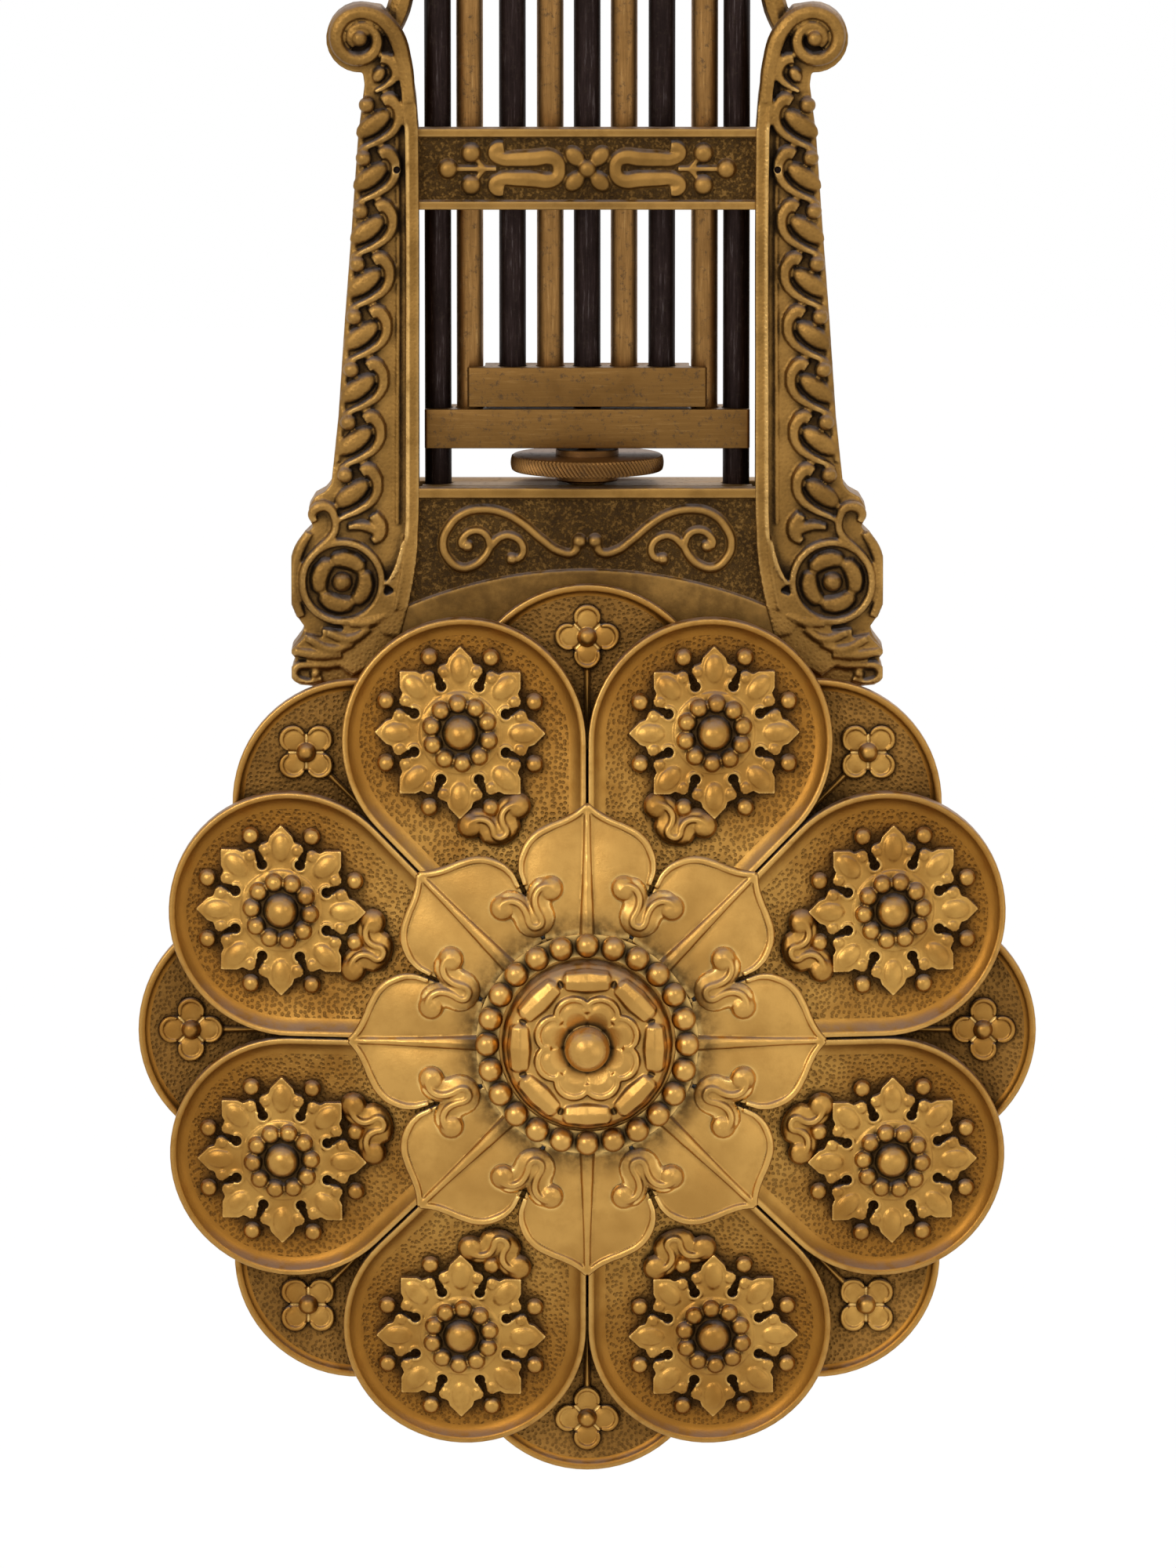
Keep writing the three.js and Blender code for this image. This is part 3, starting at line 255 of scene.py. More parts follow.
class Finish:
    """A material whose nodes are added by type, settings and socket values."""

    def __init__(self, name):
        self.material = bpy.data.materials.new(name)
        self.material.use_nodes = True
        self.tree = self.material.node_tree
        self.shader = self.tree.nodes["Principled BSDF"]
        self.place = self.node("ShaderNodeTexCoord", {}, {}, "Object")

    def node(self, kind, settings, values, output=0):
        made = self.tree.nodes.new(kind)
        for key, value in settings.items():
            setattr(made, key, value)
        for socket, value in values.items():
            self.feed(made.inputs[socket], value)
        return Link(self, made.outputs[output])

    def feed(self, socket, value):
        if isinstance(value, Link):
            self.tree.links.new(value.socket, socket)
        else:
            socket.default_value = value

    def blend(self, mask, first, second):
        """Colour that goes from first to second as the mask goes from 0 to 1."""
        settings = {"data_type": "RGBA"}
        return self.node("ShaderNodeMix", settings, {0: mask, 6: first, 7: second}, 2)

    def vectors(self, operation, first, second, output=0):
        settings = {"operation": operation}
        return self.node("ShaderNodeVectorMath", settings, {0: first, 1: second}, output)

    def split(self, vector, axis):
        """One axis of a vector."""
        return self.node("ShaderNodeSeparateXYZ", {}, {"Vector": vector}, axis)

    def noise(self, per_mm, detail, roughness=0.6, place=None):
        values = {"Vector": place or self.place, "Scale": per_mm / MM, "Detail": detail}
        values["Roughness"] = roughness
        return self.node("ShaderNodeTexNoise", {}, values)

    def cells(self, per_mm, scatter):
        """0 in the middle of each cell, seen from the front. A low scatter gives even rows of cells."""
        flat = {"X": self.split(self.place, "X"), "Y": self.split(self.place, "Z")}
        front = self.node("ShaderNodeCombineXYZ", {}, flat)
        values = {"Vector": front, "Scale": per_mm / MM, "Randomness": scatter}
        return self.node("ShaderNodeTexVoronoi", {"voronoi_dimensions": "2D"}, values)

    def occlusion(self, reach_mm, **settings):
        """1 where rays of this reach meet no metal, and less the more they meet."""
        settings["samples"] = 8
        return self.node("ShaderNodeAmbientOcclusion", settings, {"Distance": reach_mm * MM}, "AO")

    def crevice(self, reach_mm, alone=True):
        """1 on open ground and less where the metal closes in, or its neighbours do if not alone."""
        return self.occlusion(reach_mm, only_local=alone)

    def edges(self, reach_mm):
        """Grows where little metal lies behind the surface, as on an edge or a thin ridge."""
        return 1 - self.occlusion(reach_mm, only_local=True, inside=True)

    def facing(self, axis):
        """How far a face looks along one axis, from -1 to 1."""
        return self.split(self.node("ShaderNodeNewGeometry", {}, {}, "Normal"), axis)

    def forward(self):
        """1 on faces that look straight at the viewer."""
        return (self.facing("Y") * -1).between(0.6, 0.95)

    def depth(self):
        """Depth in mm, forward of the rods."""
        return self.split(self.place, "Y") * (-1 / MM)

    def off_axis(self):
        """Distance in mm from the axis of the bob."""
        flat = self.vectors("MULTIPLY", self.place, (1, 0, 1))
        return self.vectors("DISTANCE", flat, (0, 0, BOB_HEIGHT), "Value") * (1 / MM)

    def bump(self, height, depth_mm, strength):
        values = {"Height": height, "Distance": depth_mm * MM, "Strength": strength}
        return self.node("ShaderNodeBump", {}, values)

    def set(self, **values):
        for socket, value in values.items():
            self.feed(self.shader.inputs[socket.replace("_", " ")], value)
        return self.material


# %% [markdown]
# The gilding. The real bob is cast bronze with fire gilding: matt grounds, burnished edges, brown
# grime in every corner and a lilac bloom of dust on what faces up. One recipe makes all the gilt
# and bronze finishes. Ambient occlusion finds the corners, which are darkened as grime and as
# painted shade; the same thing traced inwards finds the edges, which are lightened as wear and as
# painted highlight; and noise of several sizes breaks both up, so that no two corners are equally
# dark.

# %% Mix the gilt and bronze finishes
GRIME_AND_SHADE_BROWN = (0.024, 0.012, 0.0045, 1)
DUST = (0.27, 0.215, 0.2, 1)


def gilt_finish(name, metal, corner_darkness, reach, gloss, stipple=0, far=None, ground=None, collar=None,
                thin=0.7, alone=True):
    """Cast metal: body colour, worn edges with painted highlight, darker patches, grime and painted
    shade in corners, dust on top.

    The argument after the metal is how dark the corners are painted, with grime and painted shade,
    and reach how far from them, in mm, that darkening spreads. A far colour takes over towards the
    edge of the bob, a ground is a range of depths that is dark, and a collar is a range of distances
    from the bob's axis that is darkened with grime and painted shade, and how thick that darkening
    is. Metal thinner than thin, in mm, counts as an edge. A metal that isn't alone is also darkened
    beside its neighbours, as grime and painted shade.
    """
    body, bright, shade = metal
    finish = Finish(name)
    clouds = finish.noise(0.09, 3)
    patches = finish.noise(0.45, 5, 0.65)
    grains = finish.noise(3.2, 4, 0.7)
    outward = finish.off_axis().between(22, 46)
    colour = finish.blend(outward, body, far or body)
    colour = finish.blend(clouds.between(0.35, 0.7) * 0.8, colour, shade)
    colour = finish.blend(patches.between(0.4, 0.75) * 0.45, colour, shade)
    # Thin edges are lightened towards the bright colour: partly burnished wear, partly painted highlight.
    worn_edges_and_highlight = finish.edges(thin).between(0.16, 0.5) * (1 - patches.between(0.45, 0.8) * 0.75)
    colour = finish.blend(worn_edges_and_highlight * 0.8, colour, bright)
    # Corners are darkened towards the grime colour: partly grime, partly painted shade.
    closed = 1 - finish.crevice(reach, alone)
    dirt_and_shade = (closed * (0.6 + patches * 1.1)).between(0.14, 0.62) * corner_darkness
    specks = finish.noise(1.3, 6, 0.75).between(0.62, 0.78) * closed.between(0.05, 0.5)
    dirt_and_shade = dirt_and_shade.most(specks * corner_darkness)
    height = grains * 0.35 + patches * 0.65
    if stipple:
        # Punched dimples are darkened as well: dirt in the pits, and painted shade in them.
        punched = finish.cells(1.7, 0.85).between(0.45, 0.15)
        strewn = outward * 0.55 + closed * 0.9
        soot = finish.noise(2.2, 5, 0.75).between(0.5, 0.66) * patches.between(0.3, 0.6)
        dirt_and_shade = dirt_and_shade.most((punched * 0.35 + soot) * strewn * stipple).most(punched * 0.4 * stipple)
        height = height - punched * 1.6 * stipple
    if ground:
        sunk = finish.depth().between(ground[1], ground[0]) * finish.forward()
        mottled = finish.noise(2.3, 5, 0.7).between(0.4, 0.6)
        dirt_and_shade = dirt_and_shade.most(sunk * (0.2 + mottled * 0.4 + patches * 0.45))
        height = height - sunk * mottled * 1.5
    # The collar darkens a ring about the axis towards the grime colour: partly grime, partly painted shade.
    if collar:
        radius = finish.off_axis()
        inside = radius.between(collar[2], collar[1]) * radius.between(collar[0], collar[0] + 0.3)
        dirt_and_shade = dirt_and_shade.most(inside * (patches.between(0.3, 0.65) * 0.55 + 0.28) * collar[3])
    colour = finish.blend(dirt_and_shade, colour, GRIME_AND_SHADE_BROWN)
    bloom = finish.facing("Z").between(0.35, 0.85) * patches.between(0.3, 0.6) * 0.5
    colour = finish.blend(bloom, colour, DUST)
    rough = gloss + grains * 0.12 + patches * 0.1 - worn_edges_and_highlight * 0.16 + dirt_and_shade * 0.3 + bloom * 0.3
    normal = finish.bump(height, 0.06, 0.9)
    metal = 1 - dirt_and_shade * 0.15 - bloom * 0.7
    return finish.set(Base_Color=colour, Roughness=rough, Metallic=metal, Normal=normal)


PETAL_GOLD = (0.49, 0.268, 0.064, 1)
FAR_GOLD = (0.3, 0.13, 0.02, 1)
BRIGHT_GOLD = (0.88, 0.56, 0.18, 1)
SHADE_GOLD = (0.25, 0.108, 0.018, 1)
CENTRE_GOLD = (0.56, 0.31, 0.08, 1)
CENTRE_SHADE = (0.38, 0.195, 0.045, 1)
BACK_GOLD = (0.33, 0.165, 0.038, 1)
BACK_SHADE = (0.19, 0.09, 0.02, 1)
BRONZE = (0.33, 0.175, 0.044, 1)
BRONZE_BRIGHT = (0.64, 0.39, 0.13, 1)
BRONZE_SHADE = (0.17, 0.085, 0.02, 1)

PETAL_METAL = (PETAL_GOLD, BRIGHT_GOLD, SHADE_GOLD)
BACK_METAL = (BACK_GOLD, BRIGHT_GOLD, BACK_SHADE)
CENTRE_METAL = (CENTRE_GOLD, BRIGHT_GOLD, CENTRE_SHADE)
FRAME_METAL = (BRONZE, BRONZE_BRIGHT, BRONZE_SHADE)

# Each row holds the metal, how dark its corners are painted with grime and painted shade, how far
# in mm that darkening reaches, the roughness, and what is special to it.
CAST = {
    "petal_gilt": (PETAL_METAL, 0.7, 1.3, 0.3, {"far": FAR_GOLD}),
    "petal_ground": (PETAL_METAL, 0.8, 2.2, 0.38, {"stipple": 0.9, "far": FAR_GOLD, "alone": False}),
    "back_gilt": (BACK_METAL, 1.0, 2.6, 0.46, {"stipple": 0.8, "collar": (5, 39, 49, 1), "alone": False}),
    "flower_gilt": (PETAL_METAL, 0.8, 1.0, 0.3, {"thin": 0.22}),
    "rosette_gilt": (PETAL_METAL, 0.9, 1.4, 0.24, {"thin": 0.4}),
    "centre_gilt": (CENTRE_METAL, 0.85, 1.2, 0.25, {"collar": (10.6, 13.4, 17.5, 1)}),
    "bead_gilt": (CENTRE_METAL, 0.9, 1.1, 0.2, {}),
    "frame_bronze": (FRAME_METAL, 1.0, 1.7, 0.36, {"stipple": 0.2}),
    "panel_bronze": (FRAME_METAL, 0.95, 1.7, 0.36, {"ground": (5.15, 5.5), "collar": (45, 55.8, 57.2, 0.45)}),
    "cross_bronze": (FRAME_METAL, 0.95, 1.7, 0.36, {"ground": (4.55, 4.85)}),
}
finishes = {name: gilt_finish(name, *row, **special) for name, (*row, special) in CAST.items()}
print("cast finishes:", len(finishes))

# %% [markdown]
# The machined metals are quieter. Bars and rods were filed and drawn along their length, so their
# noise is stretched along one axis into fine streaks. Iron rods have gone brown-black, the brass
# carries small dark spots where the lacquer failed, and screws and pins stay grey.

# %% Mix the machined finishes
SPOT_AND_CORNER_BROWN = (0.045, 0.026, 0.012, 1)
STRETCH = {"X": (0.06, 1, 1), "Y": (1, 0.06, 1), "Z": (1, 1, 0.06)}
DULL_REACH = 1.5


def drawn_finish(name, body, shade, bright, gloss, along, spots):
    """Metal worked along one axis: streaks, dark spots and darker, duller corners. Drawn rods show them most.
    """
    finish = Finish(name)
    streaked = finish.vectors("MULTIPLY", finish.place, STRETCH[along])
    streaks = finish.noise(3.2, 5, 0.75, streaked)
    clouds = finish.noise(0.16, 4)
    freckles = finish.noise(1.1, 7, 0.8)
    closed = 1 - finish.crevice(DULL_REACH)
    grain = 1 if along == "Z" else 0.4
    colour = finish.blend(streaks.between(0.4, 0.62) * 0.7 * grain, body, shade)
    colour = finish.blend(streaks.between(0.44, 0.32) * 0.45 * grain, colour, bright)
    colour = finish.blend(clouds.between(0.45, 0.75) * 0.7, colour, shade)
    # Edges are lightened towards the bright colour: partly wear, partly painted highlight.
    colour = finish.blend(finish.edges(0.3).between(0.2, 0.5) * 0.5, colour, bright)
    # Dark spots, and the corners darkened and dulled towards the same brown.
    spots_and_dark_corners = (freckles.between(0.53, 0.64) * spots).most(closed.between(0.25, 0.95) * 0.85)
    colour = finish.blend(spots_and_dark_corners, colour, SPOT_AND_CORNER_BROWN)
    rough = gloss + streaks * 0.16 + spots_and_dark_corners * 0.3
    normal = finish.bump(streaks * 0.6 * grain + freckles * 0.4, 0.025, 0.8)
    return finish.set(Base_Color=colour, Roughness=rough, Metallic=1 - spots_and_dark_corners * 0.5, Normal=normal)


# Each row holds the body, shade and bright colours, the roughness, the axis and how spotted it is.
DRAWN = {
    "bar_brass": ((0.195, 0.098, 0.027), (0.13, 0.063, 0.017), (0.46, 0.27, 0.095), 0.38, "X", 0.6),
    "rod_brass": ((0.31, 0.16, 0.05), (0.2, 0.1, 0.03), (0.5, 0.3, 0.11), 0.36, "Z", 0.6),
    "rod_steel": ((0.032, 0.02, 0.018), (0.014, 0.009, 0.008), (0.15, 0.125, 0.12), 0.46, "Z", 0.3),
    "nut_brass": ((0.17, 0.078, 0.022), (0.12, 0.057, 0.016), (0.42, 0.24, 0.085), 0.36, "X", 0.5),
    "block_brass": ((0.3, 0.17, 0.058), (0.2, 0.11, 0.036), (0.5, 0.32, 0.12), 0.45, "X", 0.5),
    "suspension_brass": ((0.45, 0.28, 0.1), (0.32, 0.19, 0.065), (0.62, 0.42, 0.17), 0.33, "Z", 0.5),
    "cover_brass": ((0.36, 0.21, 0.075), (0.25, 0.14, 0.048), (0.55, 0.36, 0.14), 0.42, "Y", 0.6),
    "pin_steel": ((0.3, 0.29, 0.28), (0.19, 0.18, 0.175), (0.5, 0.49, 0.48), 0.3, "X", 0.5),
    "screw_steel": ((0.24, 0.23, 0.22), (0.15, 0.14, 0.135), (0.45, 0.44, 0.43), 0.38, "X", 0.5),
    "spring_steel": ((0.09, 0.12, 0.24), (0.06, 0.075, 0.15), (0.3, 0.32, 0.4), 0.28, "Z", 0.5),
    "weight_lead": ((0.17, 0.175, 0.185), (0.11, 0.113, 0.12), (0.3, 0.3, 0.31), 0.6, "X", 0.3),
}
for name, (*colours, gloss, along, spots) in DRAWN.items():
    colours = [(*colour, 1) for colour in colours]
    finishes[name] = drawn_finish(name, *colours, gloss, along, spots)
print("finishes:", len(finishes))

# %% [markdown]
# Every frame piece already has a material slot named in its record. Giving each of them the matching
# finish at once means that nothing is ever seen in bare grey, and a new piece later only has to
# say which slot it belongs to.

# %% Give the frame its finishes
def dress_frame():
    """Each frame piece takes the finish of its own slot."""
    slots = {row["node"]: row["material_slot"] for row in frame["record"]["subparts"]}
    for name, piece in frame["nodes"].items():
        piece.data.materials.clear()
        piece.data.materials.append(finishes[slots[name]])
    return slots


slot_of = dress_frame()
bodies = frame["record"]["behaviour"]["bodies"]
body_of_node = {node: body for body, nodes in bodies.items() for node in nodes}
print("dressed:", len(slot_of))

# %% [markdown]
# The workshop helpers. Blender's operators act on whatever is selected, and the loaded frame is
# selected, so each helper first picks exactly the pieces it works on. The front view of the bob is
# the x-z plane, and depth counts forward from the plane of the rods, towards the viewer.

# %% Handle pieces
def pick(*pieces):
    """Selects these pieces alone, with the first one active."""
    if bpy.context.mode != "OBJECT":
        bpy.ops.object.mode_set(mode="OBJECT")
    bpy.ops.object.select_all(action="DESELECT")
    for piece in pieces:
        piece.select_set(True)
    bpy.context.view_layer.objects.active = pieces[0]


def fuse(pieces):
    """Several pieces become one object."""
    pick(*pieces)
    if len(pieces) > 1:
        bpy.ops.object.join()
    return bpy.context.object


def discard(piece):
    pick(piece)
    bpy.ops.object.delete()


def copy_of(piece):
    """Copy with its own mesh."""
    pick(piece)
    bpy.ops.object.duplicate(linked=False)
    return bpy.context.object


def fix_place(piece):
    """Moves a piece's place, turn and scale into its mesh."""
    pick(piece)
    bpy.ops.object.transform_apply(location=True, rotation=True, scale=True)
    return piece


def turn_by(piece, angle):
    """Turns a piece about the middle of the bob as the viewer sees it."""
    piece.rotation_euler.y = -angle
    return fix_place(piece)


def all_round(piece, count, first=0.0):
    """The piece repeated round the bob at equal steps, as one object."""
    copies = [turn_by(copy_of(piece), first + i * TURN / count) for i in range(count)]
    discard(piece)
    return fuse(copies)


def modify(piece, kind, **settings):
    """Adds one modifier and applies it."""
    pick(piece)
    bpy.ops.object.modifier_add(type=kind)
    modifier = piece.modifiers[-1]
    for key, value in settings.items():
        setattr(modifier, key, value)
    bpy.ops.object.modifier_apply(modifier=modifier.name)
    return piece


def cut(piece, cutter):
    """Takes the cutter's shape out of a piece."""
    modify(piece, "BOOLEAN", operation="DIFFERENCE", object=cutter, solver="EXACT")
    discard(cutter)


def coat(piece, *metals):
    """Gives a piece its own finishes."""
    for metal in metals:
        piece.data.materials.append(finishes[metal])
    return piece


def lean(piece, slope, reach):
    """Moves each point forward in proportion to how far it lies inside the given radius."""
    for vertex in piece.data.vertices:
        vertex.co.y -= slope * (reach - vertex.co.x)
    return piece


def settle(piece, name, *nodes, bends=False):
    """Shrinks a finished piece to metres, sets it at its height and lets it stand for its nodes."""
    piece.scale = (MM, MM, MM)
    piece.location = (0, 0, BOB_HEIGHT)
    fix_place(piece)
    piece.name = name
    piece.data.name = name
    if not piece.data.materials:
        coat(piece, slot_of[nodes[0]])
    if bends:
        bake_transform(piece)
    else:
        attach(piece, body_of_node[nodes[0]])
    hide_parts(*nodes)
    print(name, "faces:", len(piece.data.polygons))
    return piece


# %% [markdown]
# Four shapes make nearly all the ornament, as they do for the chaser who carved the pattern: a
# ball, a plate cut from an outline, a ridge that tapers along a curve, and a turned ring. cast()
# then fuses overlapping shapes into one skin with a voxel remesh, which rounds every inner corner
# slightly, just as molten bronze does. Plain round bars are made as cylinders.

# %% Shape the four stock forms
def ball(x, z, depth, radius, along=1.0, across=1.0, proud=1.0, turn=0.0, fine=16):
    """Ball or lens: its two widths in the front view, how proud it stands, and its turn."""
    bpy.ops.mesh.primitive_uv_sphere_add(segments=fine, ring_count=fine // 2, radius=radius)
    piece = bpy.context.object
    piece.rotation_euler.x = math.pi / 2
    fix_place(piece)
    piece.scale = (along, proud, across)
    piece.location = (x, -depth, z)
    return turn_by(piece, turn)


def cylinder(sides, radius, length, place, axis):
    """Round bar about its middle, along one axis."""
    bpy.ops.mesh.primitive_cylinder_add(vertices=sides, radius=radius, depth=length)
    piece = bpy.context.object
    piece.rotation_euler = {"X": (0, math.pi / 2, 0), "Y": (math.pi / 2, 0, 0), "Z": (0, 0, 0)}[axis]
    piece.location = place
    return fix_place(piece)


def edit_all():
    """Opens the active piece for editing, all of it selected."""
    bpy.ops.object.mode_set(mode="EDIT")
    bpy.ops.mesh.select_all(action="SELECT")


def close_skin():
    """Turns every face outwards and ends the editing."""
    bpy.ops.mesh.select_all(action="SELECT")
    bpy.ops.mesh.normals_make_consistent(inside=False)
    bpy.ops.object.mode_set(mode="OBJECT")


def plate(outline, back, front):
    """Plate of a front-view outline between two depths."""
    bpy.ops.mesh.primitive_circle_add(vertices=len(outline), fill_type="NGON")
    piece = bpy.context.object
    for vertex, (x, z) in zip(piece.data.vertices, outline):
        vertex.co = (x, -back, z)
    edit_all()
    bpy.ops.mesh.extrude_region_move(TRANSFORM_OT_translate={"value": (0, back - front, 0)})
    close_skin()
    return piece


def ridge(path, thick, depth, flat=1.0):
    """Rounded ridge through the path's points, as thick at each as the list says."""
    bpy.ops.curve.primitive_bezier_curve_add()
    piece = bpy.context.object
    curve = piece.data
    curve.splines.clear()
    line = curve.splines.new("BEZIER")
    line.bezier_points.add(len(path) - 1)
    for point, (x, z), radius in zip(line.bezier_points, path, thick):
        point.co = (x, 0, z)
        point.radius = radius
        point.handle_left_type = "AUTO"
        point.handle_right_type = "AUTO"
    curve.resolution_u = 6
    curve.bevel_depth = 1
    curve.bevel_resolution = 2
    curve.use_fill_caps = True
    pick(piece)
    bpy.ops.object.convert(target="MESH")
    piece = bpy.context.object
    piece.scale.y = flat
    piece.location.y = -depth
    return fix_place(piece)


def turned(profile, steps=96, upright=False):
    """Closed profile of (radius, depth) points spun about the bob's axis, or (radius, height) upright."""
    bpy.ops.mesh.primitive_circle_add(vertices=len(profile), fill_type="NOTHING")
    piece = bpy.context.object
    for vertex, (radius, along) in zip(piece.data.vertices, profile):
        vertex.co = (radius, 0, along) if upright else (radius, -along, 0)
    axis = (0, 0, 1) if upright else (0, 1, 0)
    edit_all()
    bpy.ops.mesh.spin(steps=steps, angle=TURN, center=(0, 0, 0), axis=axis)
    bpy.ops.mesh.select_all(action="SELECT")
    bpy.ops.mesh.remove_doubles(threshold=0.002)
    close_skin()
    return piece


def washer(inner, outer, back, front):
    """Flat ring between two radii and two depths."""
    return turned([(inner, back), (outer, back), (outer, front), (inner, front)])


def cast(pieces, grain, soften, keep=1.0):
    """Fuses overlapping forms into one skin and thins it to a share of its faces."""
    piece = fuse(pieces)
    modify(piece, "REMESH", mode="VOXEL", voxel_size=grain)
    modify(piece, "SMOOTH", factor=0.5, iterations=soften)
    if keep < 1:
        modify(piece, "DECIMATE", ratio=keep)
    pick(piece)
    bpy.ops.object.shade_smooth()
    return piece


def smooth(piece, degrees):
    """Smooths all but the edges that are sharper than the angle."""
    pick(piece)
    bpy.ops.object.shade_smooth_by_angle(angle=math.radians(degrees))
    return piece


def soft_edges(piece, width, segments=2, degrees=35):
    """Breaks the sharp edges, as a file does, and smooths the rest."""
    limits = {"limit_method": "ANGLE", "angle_limit": math.radians(degrees)}
    modify(piece, "BEVEL", width=width, segments=segments, **limits)
    return smooth(piece, degrees)


# %% [markdown]
# The petals of the two plates. Each is a circle drawn out to a point towards the middle, along
# the two lines that divide it from its neighbours. The plate is extruded, its front face is inset
# for the rim, inset again and pushed back for the fall, and inset twice more to hollow the floor.
# The floor faces get their own stippled finish. One petal is made and copied round.

# %% Model a petal by insets
ARC_STEPS = 44
FRONT_STEP = 0.8
FRONT_RADIUS = BOB_RADIUS - FRONT_STEP
PETAL_GROOVE = 0.12
PETAL_SLOPE = 0.16
PETAL_FRONT = 10.6
PETAL_THICK = 2.2
PETAL_DISH = 1.2
FLOOR_STEPS = ((1.6, 0.16), (2.4, 0.12))


def arc(middle, radius, turns):
    """Points on a circle about a middle, at the given angles in radians."""
    return [(middle[0] + radius * math.cos(turn), middle[1] + radius * math.sin(turn)) for turn in turns]


def petal_outline(reach, groove):
    """Round outside, then straight to a point inside."""
    sine = math.sin(math.pi / LOBES)
    centre = reach / (1 + sine)
    radius = reach - centre - groove
    turn = math.pi / 2 + math.pi / LOBES
    turns = [-turn + 2 * turn * i / ARC_STEPS for i in range(ARC_STEPS + 1)]
    return arc((centre, 0), radius, turns) + [(centre - radius / sine, 0)]


def select_front(piece, depth):
    """Selects the face that looks forward at this depth, in edit mode."""
    bpy.ops.object.mode_set(mode="EDIT")
    bpy.ops.mesh.select_mode(type="FACE")
    bpy.ops.mesh.select_all(action="DESELECT")
    bpy.ops.object.mode_set(mode="OBJECT")
    for face in piece.data.polygons:
        face.select = face.normal.y < -0.9 and abs(face.center.y + depth) < 0.01
    bpy.ops.object.mode_set(mode="EDIT")


def hollow_petal(reach, groove, back, front, rim, fall, dish, metals):
    """Petal with a raised rim and a hollowed floor in its second finish."""
    piece = coat(plate(petal_outline(reach, groove), back, front), *metals)
    pick(piece)
    select_front(piece, front)
    bpy.ops.mesh.inset(thickness=rim, depth=0)
    bpy.ops.mesh.inset(thickness=fall * 0.4, depth=-dish * 0.65)
    bpy.ops.mesh.inset(thickness=fall * 0.6, depth=-dish * 0.35)
    piece.active_material_index = 1
    for step, drop in FLOOR_STEPS:
        bpy.ops.object.material_slot_assign()
        bpy.ops.mesh.inset(thickness=step, depth=-drop)
    bpy.ops.object.material_slot_assign()
    bpy.ops.object.mode_set(mode="OBJECT")
    return soft_edges(piece, 0.24, 3)


# %% [markdown]
# Near its inner end every petal carries a small scrolled clasp, shaped like the Greek omega: a
# rounded body, two curled ends with balls and a bright thin ridge on top. Its parts are ridges and
# balls, and a list of points for one half gives the other half with the sign turned round.

# %% Model the scrolled clasps
CLASP_GRAIN = 0.15
CLASP_LIFT = 0.1
CLASP_HALF = [(1.25, 0), (1.4, 0.5), (2.0, 0.78), (3.0, 0.68), (4.1, 0.78), (5.0, 1.3), (5.45, 2.2),
              (5.3, 3.1), (4.55, 3.5)]


def mirrored(half):
    """The other half of an outline, in reverse order."""
    return [(x, -z) for x, z in reversed(half)]


def clasp(start, stretch, floor):
    """Clasp with its closed end at start and legs that run outwards into two balls."""
    def at(along, across):
        return start + along * stretch, across

    depth = floor + CLASP_LIFT
    forms = [ball(*at(2.3, 0), depth + 0.2, 2.5, stretch, 1.05, 0.46)]
    for side in (-1, 1):
        leg = [at(2.0, side * 0.9), at(4.0, side * 1.3), at(5.2, side * 2.2), at(5.1, side * 3.1)]
        forms.append(ridge(leg, [1.7, 1.7, 1.5, 1.2], depth + 0.2, 0.55))
        forms.append(ball(*at(4.85, side * 3.15), depth + 0.25, 1.65, proud=0.82, fine=14))
    line = mirrored(CLASP_HALF[1:]) + CLASP_HALF
    forms.append(ridge([at(*point) for point in line], [0.44] * len(line), depth + 1.2))
    return cast(forms, CLASP_GRAIN, 1, 0.45)


floor_depth = PETAL_FRONT - PETAL_DISH
petal_clasp = coat(clasp(26.0, 0.74, floor_depth), "petal_gilt")
lean(petal_clasp, PETAL_SLOPE, FRONT_RADIUS)
print("clasp faces:", len(petal_clasp.data.polygons))

# %% [markdown]
# The front plate is one casting. Its eight petals and their clasps are copied round, and a thin
# flat hub under the calyx joins them in the middle. The petals lean forward towards the middle, so
# each point moves in proportion to how far in it lies.

# %% Assemble the front plate
HUB_RADIUS = 16
HUB_BORE = 2.5
hub_front = PETAL_FRONT + (FRONT_RADIUS - HUB_RADIUS) * PETAL_SLOPE
front_petal = hollow_petal(FRONT_RADIUS, PETAL_GROOVE, PETAL_FRONT - PETAL_THICK, PETAL_FRONT, 0.62, 1.5,
                           PETAL_DISH, ("petal_gilt", "petal_ground"))
lean(front_petal, PETAL_SLOPE, FRONT_RADIUS)
front_hub = washer(HUB_BORE, HUB_RADIUS, hub_front - PETAL_THICK, hub_front)
petals = all_round(front_petal, LOBES, STEP / 2)
clasps = all_round(petal_clasp, LOBES, STEP / 2)
settle(fuse([petals, clasps, front_hub]), "front_petals", "front_plate")

# %% [markdown]
# The back plate shows as eight crescents between the front petals. Each carries a small flower of
# four hollowed petals round a ball, with a thin stem that runs in between the big petals. The
# flower stands square to its lobe. Its hidden back is pressed flat just inside the lobe, so that
# the lobe's finish doesn't take the thin metal over it for an edge and lighten it with the colour
# of worn edges and painted highlight.

# %% Model the back lobes and their flowers
BACK_SEAT = 6.8
BACK_THICK = 1.7
BACK_DISH = 0.55
FLOWER_INSET = 6.5
FLOWER_PETALS = 4
back_front = BACK_SEAT + BACK_THICK
flower_at = BOB_RADIUS - FLOWER_INSET


